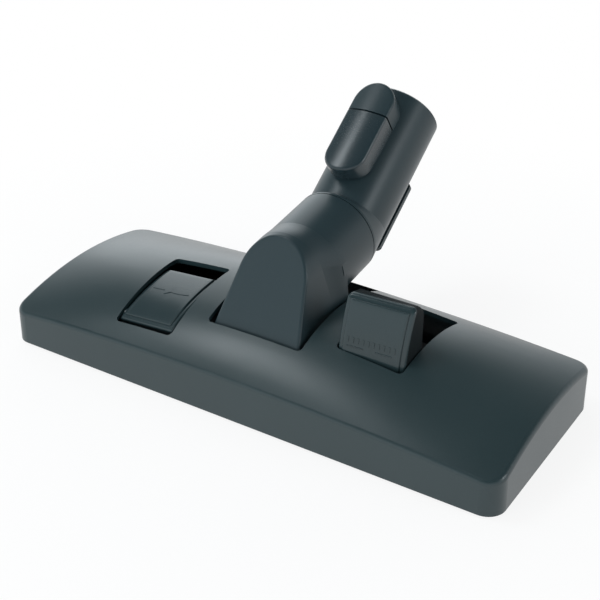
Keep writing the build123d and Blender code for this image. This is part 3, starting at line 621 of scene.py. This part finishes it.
class Patterns:
    """The geometry node trees that make the head's repeated small forms."""

    filament_sides: int = 5
    filament_tip: float = 0.6
    filament_shortest: float = 0.93
    lean_x_rad: float = 0.07
    lean_y_rad: float = 0.05
    spin_rad: float = 6.28
    fibre_sides: int = 4
    fibre_tip: float = 0.4
    fibre_wander_rad: float = 0.2

    @classmethod
    @cache
    def tufts(cls) -> Pattern:
        """Rows of tufts of tapered filaments that hang down from a plane.

        Returns:
            The pattern, with its inputs named for the sizes of a bristle row.
        """
        pattern = Pattern(
            "bristle_tufts",
            {
                Socket.FLOAT: ["Length", "Width", "Radius", "Drop"],
                Socket.INT: ["Along", "Across", "Filaments", "Seed"],
                Socket.VECTOR: ["Spread", "Root"],
            },
        )
        graph, given = pattern.graph, pattern.given
        grid = pattern.grid(given["Along"], given["Across"])
        many = graph.add(
            "GeometryNodeDuplicateElements",
            {"Geometry": grid, "Amount": given["Filaments"]},
            domain="POINT",
        )
        back = graph.add(
            "ShaderNodeVectorMath", {0: given["Spread"], "Scale": -1.0}, operation="SCALE"
        )
        jitter = pattern.draw(back.outputs[0], given["Spread"])
        moved = graph.add("ShaderNodeVectorMath", {0: jitter, 1: given["Root"]}, operation="ADD")
        placed = graph.add(
            "GeometryNodeSetPosition",
            {"Geometry": many.outputs["Geometry"], "Offset": moved.outputs[0]},
        )
        lean = pattern.draw(
            (math.pi - cls.lean_x_rad, -cls.lean_y_rad, 0.0),
            (math.pi + cls.lean_x_rad, cls.lean_y_rad, cls.spin_rad),
        )
        length = pattern.draw(cls.filament_shortest, 1.0)
        stretch = graph.add("ShaderNodeCombineXYZ", {0: 1.0, 1: 1.0, 2: length})
        pattern.close(
            {
                "Points": placed.outputs["Geometry"],
                "Instance": pattern.cone(cls.filament_sides, cls.filament_tip),
                "Rotation": lean,
                "Scale": stretch.outputs[0],
            }
        )
        return pattern

    @classmethod
    @cache
    def pile(cls) -> Pattern:
        """Short slanted fibres scattered over a strip, which point down.

        Returns:
            The pattern, with its inputs named for the sizes of a lint strip.
        """
        pattern = Pattern(
            "lint_fibres",
            {
                Socket.FLOAT: ["Length", "Width", "Density", "Radius", "Drop", "Slant"],
                Socket.INT: ["Seed"],
                Socket.VECTOR: ["Root"],
            },
        )
        graph, given = pattern.graph, pattern.given
        moved = graph.add(
            "GeometryNodeSetPosition", {"Geometry": pattern.grid(2, 2), "Offset": given["Root"]}
        )
        points = graph.add(
            "GeometryNodeDistributePointsOnFaces",
            {
                "Mesh": moved.outputs["Geometry"],
                "Density": given["Density"],
                "Seed": given["Seed"],
            },
            distribute_method="RANDOM",
        )
        wander = pattern.draw(-cls.fibre_wander_rad, cls.fibre_wander_rad)
        tilt = graph.math("ADD", graph.math("ADD", given["Slant"], math.pi), wander)
        turn = graph.add("ShaderNodeCombineXYZ", {0: tilt, 1: wander, 2: 0.0})
        pattern.close(
            {
                "Points": points.outputs["Points"],
                "Instance": pattern.cone(cls.fibre_sides, cls.fibre_tip),
                "Rotation": turn.outputs[0],
            }
        )
        return pattern

    @staticmethod
    @cache
    def strokes() -> Pattern:
        """A row of equal upright strokes on a flat field.

        Returns:
            The pattern, with its inputs named for the sizes of a sign.
        """
        pattern = Pattern(
            "sign_strokes",
            {Socket.INT: ["Count"], Socket.FLOAT: ["Pitch"], Socket.VECTOR: ["Start", "Size"]},
        )
        graph, given = pattern.graph, pattern.given
        step = graph.add("ShaderNodeCombineXYZ", {0: given["Pitch"], 1: 0.0, 2: 0.0})
        line = graph.add(
            "GeometryNodeMeshLine",
            {
                "Count": given["Count"],
                "Start Location": given["Start"],
                "Offset": step.outputs[0],
            },
        )
        bar = graph.add(
            "GeometryNodeMeshCube",
            {"Size": given["Size"], "Vertices X": 2, "Vertices Y": 3, "Vertices Z": 2},
        )
        pattern.close({"Points": line.outputs["Mesh"], "Instance": bar.outputs["Mesh"]})
        return pattern


def dress(nodes: Sequence[str], slot: str) -> None:
    """Puts a finish on CAD nodes, whose shapes stay as they are.

    Args:
        nodes: The node names.
        slot: The record's material slot.
    """
    for name in nodes:
        node = frame["nodes"][name]
        node.data.materials.clear()
        node.data.materials.append(Finishes.get(slot))
        LOG.info("dressed %s as %s", name, slot)


def keep(piece: Object, body: str) -> Object:
    """Lets a finished piece ride on its body.

    Args:
        piece: The finished piece.
        body: The CAD body it moves with.

    Returns:
        The same piece.
    """
    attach(piece, body)
    LOG.info("piece %s rides on %s with %d faces", piece.name, body, len(piece.data.polygons))
    return piece


def joint_place(name: str) -> Vector:
    """Gives a joint's place in the row frame.

    Args:
        name: The joint's name.

    Returns:
        The place in metres.
    """
    for joint in frame["joints"]:
        if joint["name"] == name:
            return Vector(joint["pos_m"])
    raise KeyError(name)


class Skin:
    """A mesh that is drawn as rings of points, each joined to the next by a band of faces."""

    def __init__(self) -> None:
        """Starts with no face."""
        self.work = bmesh.new()

    def join(
        self, rings: Sequence[Sequence[Place]], closed: bool
    ) -> list[list[bmesh.types.BMFace]]:
        """Joins rings that have the same number of points.

        Args:
            rings: The rings, in order.
            closed: Whether the last ring joins the first. If not, both get a flat end.

        Returns:
            The faces of each band, in order.
        """
        made = [[self.work.verts.new(point) for point in ring] for ring in rings]
        bands = []
        for first, second in zip(made, made[1:] + made[:1] if closed else made[1:]):
            band = []
            for k, corner in enumerate(first):
                after = (k + 1) % len(first)
                corners = (corner, first[after], second[after], second[k])
                band.append(self.work.faces.new(corners))
            bands.append(band)
        if not closed:
            self.work.faces.new(made[0])
            self.work.faces.new(list(reversed(made[-1])))
        return bands

    def finish(self, name: str) -> Object:
        """Turns the faces outward and puts the mesh in the scene.

        Args:
            name: The object's name.

        Returns:
            The object.
        """
        bmesh.ops.recalc_face_normals(self.work, faces=self.work.faces)
        mesh = bpy.data.meshes.new(name)
        self.work.to_mesh(mesh)
        self.work.free()
        return show(name, mesh)


@dataclass
class PedalKey:
    """A pedal's cambered key: a soft-edged plate, a raised field, two skirts and a hinge tube."""

    side: Side
    slope_deg: float
    half_width_mm: float = 16.3
    front_mm: float = -5.3
    tail_mm: float = 35.9
    hinge_back_mm: float = 6.0
    hinge_depth_mm: float = 6.0
    camber_mm: float = 2.2
    roll_deg: float = 5.636
    plate_mm: float = 2.6
    skirt_mm: float = 1.8
    ledge_mm: float = 0.85
    ledge_inset_mm: float = 2.3
    edge_mm: float = 1.3
    tail_run_mm: float = 2.9
    tail_fall_mm: float = 1.1
    field_edge_mm: float = 0.65
    tail_corner_mm: float = 2.4
    front_corner_mm: float = 1.0
    least_corner_mm: float = 0.02
    corner_share: float = 0.9
    core_mm: float = 0.05
    touch_mm: float = 0.01
    lip_mm: float = 2.0
    boss_mm: float = 4.5
    bore_mm: float = 2.7
    skirt_line: Line = (
        (-6.0, 2.4), (-4.5, 0.0), (0.0, -4.5), (13.0, -10.5), (32.5, -6.1), (36.0, -2.6),
    )
    corner_steps: int = 6
    side_steps: int = 22
    end_steps: int = 16
    edge_steps: int = 5
    field_rings: int = 7
    under_rings: int = 6
    tube_steps: int = 36
    sharp_deg: float = 35.0

    @property
    def body(self) -> str:
        """The CAD body that the key rides on."""
        return f"{self.side.value}_pedal_key"

    @property
    def core_inset(self) -> float:
        """The inset, in millimetres, that leaves the narrow core of the outline."""
        return self.half_width_mm - self.core_mm

    def face_height(self, across: float, along: float) -> float:
        """Height of the field over the hinge.

        Args:
            across: Distance from the pedal's middle, in millimetres.
            along: Distance behind the hinge, in millimetres.

        Returns:
            The height in millimetres.
        """
        half = (self.tail_mm + self.hinge_back_mm) / 2
        radius = (half * half + self.camber_mm**2) / (2 * self.camber_mm)
        off = along - (half - self.hinge_back_mm)
        roll = math.radians(self.roll_deg)
        fall = math.tan(roll) * (across if self.side is Side.LEFT else -across)
        drop = (radius - math.sqrt(radius * radius - off * off)) / math.cos(roll)
        late = max(along - self.tail_mm + self.tail_run_mm, 0.0) / self.tail_run_mm
        return self.hinge_depth_mm + self.camber_mm - drop + fall - self.tail_fall_mm * late * late

    def set_on_hinge(self, piece: Object) -> None:
        """Turns a mesh in millimetres about the hinge to where the pedal rests.

        Args:
            piece: A mesh with X across, Y behind the hinge and Z over the hinge.
        """
        hinge = joint_place(f"{self.side.value}_pedal_rock")
        turn = Matrix.Rotation(math.radians(self.slope_deg), 4, "X")
        for vertex in piece.data.vertices:
            vertex.co = hinge + turn @ (vertex.co * MM)
        piece.data.update()

    def outline(self, inset: float) -> list[Flat]:
        """Draws the key's rounded outline, pulled in.

        Args:
            inset: How far the outline is pulled in, in millimetres.

        Returns:
            Points across and along, in the same number and order for any inset.
        """
        half = self.half_width_mm - inset
        front, tail = self.front_mm + inset, self.tail_mm - inset
        corners = (
            (half, tail, self.tail_corner_mm, -1),
            (-half, tail, self.tail_corner_mm, -1),
            (-half, front, self.front_corner_mm, 1),
            (half, front, self.front_corner_mm, 1),
        )
        steps = self.corner_steps
        arcs: list[list[Flat]] = []
        for quarter, (x, y, corner, inward) in enumerate(corners):
            radius = min(max(corner - inset, self.least_corner_mm), half * self.corner_share)
            middle_x = x - math.copysign(radius, x)
            middle_y = y + inward * radius
            start = quarter * QUARTER_DEG
            turns = [math.radians(start + QUARTER_DEG * k / steps) for k in range(steps + 1)]
            arcs.append(
                [
                    (middle_x + radius * math.cos(turn), middle_y + radius * math.sin(turn))
                    for turn in turns
                ]
            )
        points: list[Flat] = []
        for index, arc in enumerate(arcs):
            points += arc
            x, y = arc[-1]
            next_x, next_y = arcs[(index + 1) % len(arcs)][0]
            steps = self.end_steps if index % 2 == 0 else self.side_steps
            for step in range(1, steps):
                share = step / steps
                points.append((x + (next_x - x) * share, y + (next_y - y) * share))
        return points

    def skirt_height(self, across: float, along: float) -> float:
        """Height of the lower rim over the hinge: deep skirts, a tail wall and a lip in front.

        Args:
            across: Distance from the pedal's middle, in millimetres.
            along: Distance behind the hinge, in millimetres.

        Returns:
            The height in millimetres.
        """
        inside = self.half_width_mm - abs(across) > self.skirt_mm + self.touch_mm
        if inside and along < self.tail_mm / 2:
            return self.lip_mm
        for (near, low), (far, high) in zip(self.skirt_line, self.skirt_line[1:]):
            if along <= far:
                return low + (high - low) * (along - near) / (far - near)
        return self.skirt_line[-1][1]

    def rounding(self, radius: float) -> list[Flat]:
        """Draws a rounded edge from its foot to its top.

        Args:
            radius: The edge's radius, in millimetres.

        Returns:
            Insets from the foot and drops under the top, in millimetres.
        """
        steps = self.edge_steps
        turns = [math.radians(QUARTER_DEG * k / steps) for k in range(steps + 1)]
        return [(radius * (1 - math.cos(turn)), radius * (1 - math.sin(turn))) for turn in turns]

    def section(self) -> list[Flat]:
        """Draws the upper surface from the wall to the middle of the field.

        Returns:
            Insets from the outline and drops under the field, in millimetres.
        """
        low = self.ledge_inset_mm
        rim = [(inset, self.ledge_mm + drop) for inset, drop in self.rounding(self.edge_mm)]
        field_rim = [(low + inset, drop) for inset, drop in self.rounding(self.field_edge_mm)]
        reach = field_rim[-1][0]
        count = self.field_rings
        inner = [(reach + (self.core_inset - reach) * k / count, 0.0) for k in range(1, count + 1)]
        return rim + [(low, self.ledge_mm)] + field_rim + inner

    def rings(self) -> list[list[Place]]:
        """Draws the key's skin from the middle of its face to the middle of its underside.

        Returns:
            The rings in order, in millimetres about the hinge.
        """
        rings = []
        for inset, drop in reversed(self.section()):
            rings.append([(x, y, self.face_height(x, y) - drop) for x, y in self.outline(inset)])
        for inset in (0.0, self.skirt_mm):
            rings.append([(x, y, self.skirt_height(x, y)) for x, y in self.outline(inset)])
        for step in range(self.under_rings + 1):
            inset = self.skirt_mm + (self.core_inset - self.skirt_mm) * step / self.under_rings
            rings.append(
                [(x, y, self.face_height(x, y) - self.plate_mm) for x, y in self.outline(inset)]
            )
        return rings

    def tube_rings(self) -> list[list[Place]]:
        """Draws the hinge tube's skin, outside and bore.

        Returns:
            The rings in order, in millimetres about the hinge.
        """
        turns = [math.tau * k / self.tube_steps for k in range(self.tube_steps)]
        half = self.half_width_mm
        return [
            [(x, radius * math.cos(turn), radius * math.sin(turn)) for turn in turns]
            for x, radius in (
                (-half, self.boss_mm), (half, self.boss_mm),
                (half, self.bore_mm), (-half, self.bore_mm),
            )
        ]

    def build(self) -> Object:
        """Builds the key and lets it stand for its CAD node.

        Returns:
            The key.
        """
        skin = Skin()
        bands = skin.join(self.rings(), closed=False)
        # The outer wall, from the face's edge down to the skirts' rim, takes the dark flank
        # finish: painted shade for the shade inside the pedal opening.
        for face in bands[len(self.section()) - 1]:
            face.material_index = 1
        skin.join(self.tube_rings(), closed=True)
        for face in skin.work.faces:
            face.smooth = True
        piece = skin.finish(f"{self.side.value}_pedal_face")
        piece.data.set_sharp_from_angle(angle=math.radians(self.sharp_deg))
        piece.data.materials.append(Finishes.get("pedal_abs"))
        piece.data.materials.append(Finishes.get("pedal_flank_painted_shade"))
        self.set_on_hinge(piece)
        keep(piece, self.body)
        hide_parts(f"{self.side.value}_pedal")
        return piece


@dataclass
class PedalSign:
    """A pedal's raised sign, drawn flat in millimetres and laid on the cambered face."""

    key: PedalKey
    proud_mm: float = 0.28
    line_mm: float = 0.55
    profile: Line = (
        (-1.0, -0.1), (-1.0, 0.5), (-0.55, 1.0), (0.55, 1.0), (1.0, 0.5), (1.0, -0.1),
    )
    bristle_count: int = 10
    bristle_pitch: float = 2.5
    bristle_start: Place = (-11.6, 15.4, 0.06)
    bristle_size: Place = (0.9, 2.6, 0.42)
    floor_left: Line = ((-12.0, 12.4), (-8.0, 12.4), (-4.0, 12.4))
    floor_right: Line = ((2.0, 12.4), (6.0, 12.4), (10.0, 12.4))
    carpet: Line = ((-11.6, 17.0), (-8.0, 17.0), (-4.6, 17.0))
    ripple: Line = (
        (-3.2, 14.6), (-2.4, 14.7), (-1.6, 15.3), (-0.8, 16.1), (0.2, 16.6),
        (1.4, 16.4), (2.6, 16.3), (5.0, 16.4), (7.6, 16.6), (10.4, 17.0),
    )

    def lay(self, piece: Object) -> None:
        """Lays a flat drawing on the pedal's face.

        Args:
            piece: A mesh drawn in millimetres: X across, Y behind the hinge, Z over the face.
        """
        for vertex in piece.data.vertices:
            vertex.co.z += self.key.face_height(vertex.co.x, vertex.co.y)
        self.key.set_on_hinge(piece)

    def line(self, name: str, points: Sequence[Flat]) -> Object:
        """Draws one raised line with a rounded back.

        Args:
            name: The piece's name.
            points: Across and along, in millimetres.

        Returns:
            A mesh drawn in millimetres.
        """
        rings = []
        half = self.line_mm / 2
        for index, point in enumerate(points):
            before = Vector(points[max(index - 1, 0)])
            after = Vector(points[min(index + 1, len(points) - 1)])
            run = (after - before).normalized()
            side = Vector((-run.y, run.x))
            ring = []
            for share, height in self.profile:
                spot = Vector(point) + side * half * share
                ring.append((spot.x, spot.y, height * self.proud_mm))
            rings.append(ring)
        skin = Skin()
        skin.join(rings, closed=False)
        piece = skin.finish(name)
        piece.data.materials.append(Finishes.get("pedal_abs"))
        return piece

    def bristles(self) -> Object:
        """Draws the brush sign's row of bristles.

        Returns:
            A mesh drawn in millimetres.
        """
        return Patterns.strokes().mesh(
            "brush_sign_bristles",
            {
                "Count": self.bristle_count,
                "Pitch": self.bristle_pitch,
                "Start": self.bristle_start,
                "Size": self.bristle_size,
                "Finish": Finishes.get("pedal_abs"),
            },
        )

    def build(self) -> list[Object]:
        """Draws a brush over the floor, or a carpet with a ripple, and lays it on the pedal.

        Returns:
            The sign's pieces.
        """
        if self.key.side is Side.RIGHT:
            pieces = [
                self.bristles(),
                self.line("brush_sign_floor_left", self.floor_left),
                self.line("brush_sign_floor_right", self.floor_right),
            ]
        else:
            pieces = [
                self.line("carpet_sign_left", self.carpet),
                self.line("carpet_sign_right", self.ripple),
            ]
        for piece in pieces:
            self.lay(piece)
            keep(piece, self.key.body)
        return pieces


@dataclass
class UpperParts:
    """The cover, the pedals and the neck with its socket and latch."""

    keys: tuple[PedalKey, ...] = field(
        default_factory=lambda: (
            PedalKey(Side.LEFT, slope_deg=13.0),
            PedalKey(Side.RIGHT, slope_deg=76.0, hinge_depth_mm=5.2),
        )
    )

    def build(self) -> None:
        """Dresses the upper pieces and makes the pedals' keys with their signs."""
        dress(["top_cover"], "cover_abs")
        dress(["left_pedal", "right_pedal"], "pedal_abs")
        dress(["neck_hood", "elbow_socket"], "neck_abs")
        dress(["latch_button"], "latch_abs")
        dress(["left_pedal_pin", "right_pedal_pin", "swivel_ring"], "pin_steel")
        dress(["latch_pin", "latch_spring"], "pin_steel")
        dress(["duct_seal", "swivel_felt"], "felt")
        for key in self.keys:
            key.build()
            PedalSign(key).build()


@dataclass
class Underside:
    """The sole, the bristle rows, the lint strips and the wheels."""

    tuft_pitch_mm: float = 4.6
    tuft_margin_mm: float = 3.2
    tuft_rows: int = 2
    tuft_rows_share: float = 0.5
    tuft_spread_mm: Flat = (1.0, 0.8)
    filaments: int = 11
    filament_mm: float = 0.19
    pile_per_mm2: float = 6.0
    pile_mm: float = 0.16
    pile_margin_mm: float = 1.0
    pile_share: float = 0.55
    pile_overlap: float = 1.05
    pile_slant_rad: float = 0.45

    def bristles(self, row: Row) -> Object:
        """Makes a bristle row in the room of its CAD block.

        Args:
            row: Which row.

        Returns:
            The finished piece.
        """
        node = f"{row.value}_bristles"
        low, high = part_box(node)
        size = high - low
        centre = (low + high) / 2
        spread_x, spread_y = self.tuft_spread_mm
        piece = Patterns.tufts().mesh(
            f"{row.value}_tufts",
            {
                "Length": size.x - self.tuft_margin_mm * MM,
                "Width": size.y * self.tuft_rows_share,
                "Along": int(size.x / (self.tuft_pitch_mm * MM)),
                "Across": self.tuft_rows,
                "Filaments": self.filaments,
                "Spread": (spread_x * MM, spread_y * MM, 0.0),
                "Radius": self.filament_mm * MM,
                "Drop": size.z,
                "Root": (centre.x, centre.y, high.z),
                "Seed": 3 if row is Row.FRONT else 8,
                "Finish": Finishes.get("bristle"),
            },
        )
        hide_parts(node)
        return keep(piece, "brush")

    def lint(self, row: Row) -> Object:
        """Makes a lint strip's slanted pile under a thin backing.

        Args:
            row: Which strip.

        Returns:
            The finished piece.
        """
        node = f"{row.value}_lint_strip"
        low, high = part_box(node)
        size = high - low
        centre = (low + high) / 2
        drop = size.z * self.pile_share
        slant = self.pile_slant_rad
        piece = Patterns.pile().mesh(
            f"{row.value}_lint_pile",
            {
                "Length": size.x - self.pile_margin_mm * MM,
                "Width": size.y - self.pile_margin_mm * MM,
                "Density": self.pile_per_mm2 * MM2_PER_M2,
                "Radius": self.pile_mm * MM,
                "Drop": drop * self.pile_overlap,
                "Slant": -slant if row is Row.FRONT else slant,
                "Root": (centre.x, centre.y, low.z + drop),
                "Seed": 5 if row is Row.FRONT else 11,
                "Finish": Finishes.get("lint_pile"),
            },
        )
        work = bmesh.new()
        work.from_mesh(piece.data)
        for vertex in bmesh.ops.create_cube(work, size=1.0)["verts"]:
            vertex.co.x = centre.x + vertex.co.x * size.x
            vertex.co.y = centre.y + vertex.co.y * size.y
            vertex.co.z = high.z - (0.5 - vertex.co.z) * (size.z - drop)
        work.to_mesh(piece.data)
        work.free()
        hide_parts(node)
        return keep(piece, "head")

    def build(self) -> None:
        """Dresses the hard pieces and makes the fibres."""
        dress(["sole_plate"], "sole_steel")
        dress(["base_housing", "brush_carriage"], "base_abs")
        dress(["left_bearing_cap", "right_bearing_cap"], "base_abs")
        dress(["left_wheel", "right_wheel"], "wheel_rubber")
        dress(["left_axle", "right_axle", "cover_screws"], "pin_steel")
        dress(["front_bristles", "rear_bristles"], "bristle")
        dress(["front_lint_strip", "rear_lint_strip"], "lint_pile")
        for row in Row:
            self.bristles(row)
            self.lint(row)


@dataclass(frozen=True)
class Lamp:
    """A soft square lamp: places and size in metres, and whether gloss shows it."""

    name: str
    place: Place
    size: float
    watts: float
    mirrored: bool = True
    target: Place = (0.0, 0.03, 0.05)


@dataclass
class Studio:
    """The camera at the photograph's angle, soft lamps and a pale floor."""

    target_mm: Place = (-9.86, 24.66, 25.0)
    azimuth_deg: float = 32.73
    elevation_deg: float = 29.38
    distance_mm: float = 605.87
    lens_mm: float = 72.38
    sensor_mm: float = 36.0
    near_clip: float = 0.01
    backdrop_rise: Flat = (0.32, 0.58)
    ceiling: float = 0.10
    air: Colour = (0.91, 0.97, 1.0)
    floor_half: float = 6.0
    floor_drop: float = 0.0002
    floor_white: float = 0.86
    floor_colour: Colour = (0.93, 0.93, 0.93)
    floor_roughness: float = 0.9
    shadow_reach: Flat = (0.12, 0.34)
    lamps: tuple[Lamp, ...] = (
        Lamp("fill", (-0.7, -0.3, 1.5), size=1.6, watts=9.0, mirrored=False),
        Lamp("front", (-0.5, -1.2, 0.5), size=0.8, watts=6.5, mirrored=False),
        Lamp("key", (-0.66, -0.25, 1.2), size=0.36, watts=3.8),
        Lamp("side", (1.26, 0.14, 0.72), size=0.4, watts=3.6),
        Lamp("back", (-0.85, 1.25, 0.42), size=1.1, watts=4.5),
        Lamp("upper_back", (-0.82, 0.78, 1.12), size=0.7, watts=2.4),
    )

    def camera(self) -> None:
        """Makes the camera and sets it as the scene's own."""
        data = bpy.data.cameras.new("studio_camera")
        data.sensor_width = self.sensor_mm
        data.lens = self.lens_mm
        data.clip_start = self.near_clip
        camera = show("studio_camera", data)
        turn = math.radians(self.azimuth_deg)
        rise = math.radians(self.elevation_deg)
        level = math.cos(rise)
        away = Vector((level * math.sin(turn), -level * math.cos(turn), math.sin(rise)))
        camera.location = (Vector(self.target_mm) + away * self.distance_mm) * MM
        camera.rotation_euler = (-away).to_track_quat("-Z", "Y").to_euler()
        bpy.context.scene.camera = camera

    def lamp(self, lamp: Lamp) -> None:
        """Adds one soft square lamp, which the camera doesn't see.

        Args:
            lamp: What the lamp is for, where it hangs and how strong it is.
        """
        data = bpy.data.lights.new(lamp.name, "AREA")
        data.size = lamp.size
        data.energy = lamp.watts
        data.color = self.air
        piece = show(lamp.name, data)
        piece.location = lamp.place
        beam = Vector(lamp.target) - Vector(lamp.place)
        piece.rotation_euler = beam.to_track_quat("-Z", "Y").to_euler()
        piece.visible_camera = False
        piece.visible_glossy = lamp.mirrored

    def world(self) -> None:
        """Makes a surround that the camera sees white, and whose light fades with height."""
        world = bpy.data.worlds.new("studio")
        graph = Graph.blank(world)
        seen = graph.add("ShaderNodeLightPath").outputs["Is Camera Ray"]
        way = graph.add("ShaderNodeTexCoord").outputs["Generated"]
        rise = graph.add("ShaderNodeSeparateXYZ", {"Vector": way}).outputs["Z"]
        backdrop = graph.ramp(rise, self.backdrop_rise, (1.0, self.ceiling))
        strength = graph.add(
            "ShaderNodeMix", {0: seen, 2: backdrop, 3: 1.0}, data_type="FLOAT"
        ).outputs[0]
        cool = graph.blend(seen, (*self.air, 1.0), WHITE)
        back = graph.add("ShaderNodeBackground", {"Color": cool, "Strength": strength})
        graph.add("ShaderNodeOutputWorld", {"Surface": back.outputs["Background"]})
        bpy.context.scene.world = world

    def floor(self) -> None:
        """Lays a large pale floor under the head, which is plain white away from it."""
        mesh = bpy.data.meshes.new("studio_floor")
        work = bmesh.new()
        bmesh.ops.create_grid(work, x_segments=1, y_segments=1, size=self.floor_half)
        work.to_mesh(mesh)
        work.free()
        floor = show("studio_floor", mesh)
        floor.location = (0.0, 0.0, -self.floor_drop)
        material = bpy.data.materials.new("studio_floor")
        graph = Graph.blank(material)
        paper = graph.add(
            "ShaderNodeBsdfPrincipled",
            {"Base Color": (*self.floor_colour, 1.0), "Roughness": self.floor_roughness},
        )
        white = graph.add("ShaderNodeEmission", {"Color": WHITE, "Strength": 1.0})
        path = graph.add("ShaderNodeLightPath").outputs
        seen = graph.math("MAXIMUM", path["Is Camera Ray"], path["Is Glossy Ray"])
        seen = graph.math("MAXIMUM", seen, path["Is Transmission Ray"])
        spot = graph.add("ShaderNodeTexCoord").outputs["Object"]
        reach = graph.add("ShaderNodeVectorMath", {0: spot}, operation="LENGTH").outputs["Value"]
        whiteness = graph.ramp(reach, self.shadow_reach, (self.floor_white, 1.0))
        mixed = graph.add(
            "ShaderNodeMixShader",
            {
                0: graph.math("MULTIPLY", seen, whiteness),
                1: paper.outputs["BSDF"],
                2: white.outputs["Emission"],
            },
        )
        graph.add("ShaderNodeOutputMaterial", {"Surface": mixed.outputs["Shader"]})
        mesh.materials.append(material)

    def build(self) -> None:
        """Builds the studio."""
        self.camera()
        self.world()
        self.floor()
        for lamp in self.lamps:
            self.lamp(lamp)
        bpy.context.scene.view_settings.view_transform = "Standard"


def main() -> None:
    """Builds the parts in order and reports each piece."""
    logging.basicConfig(level=logging.INFO, format="%(message)s")
    UpperParts().build()
    Underside().build()
    Studio().build()


if __name__ == "__main__":
    main()
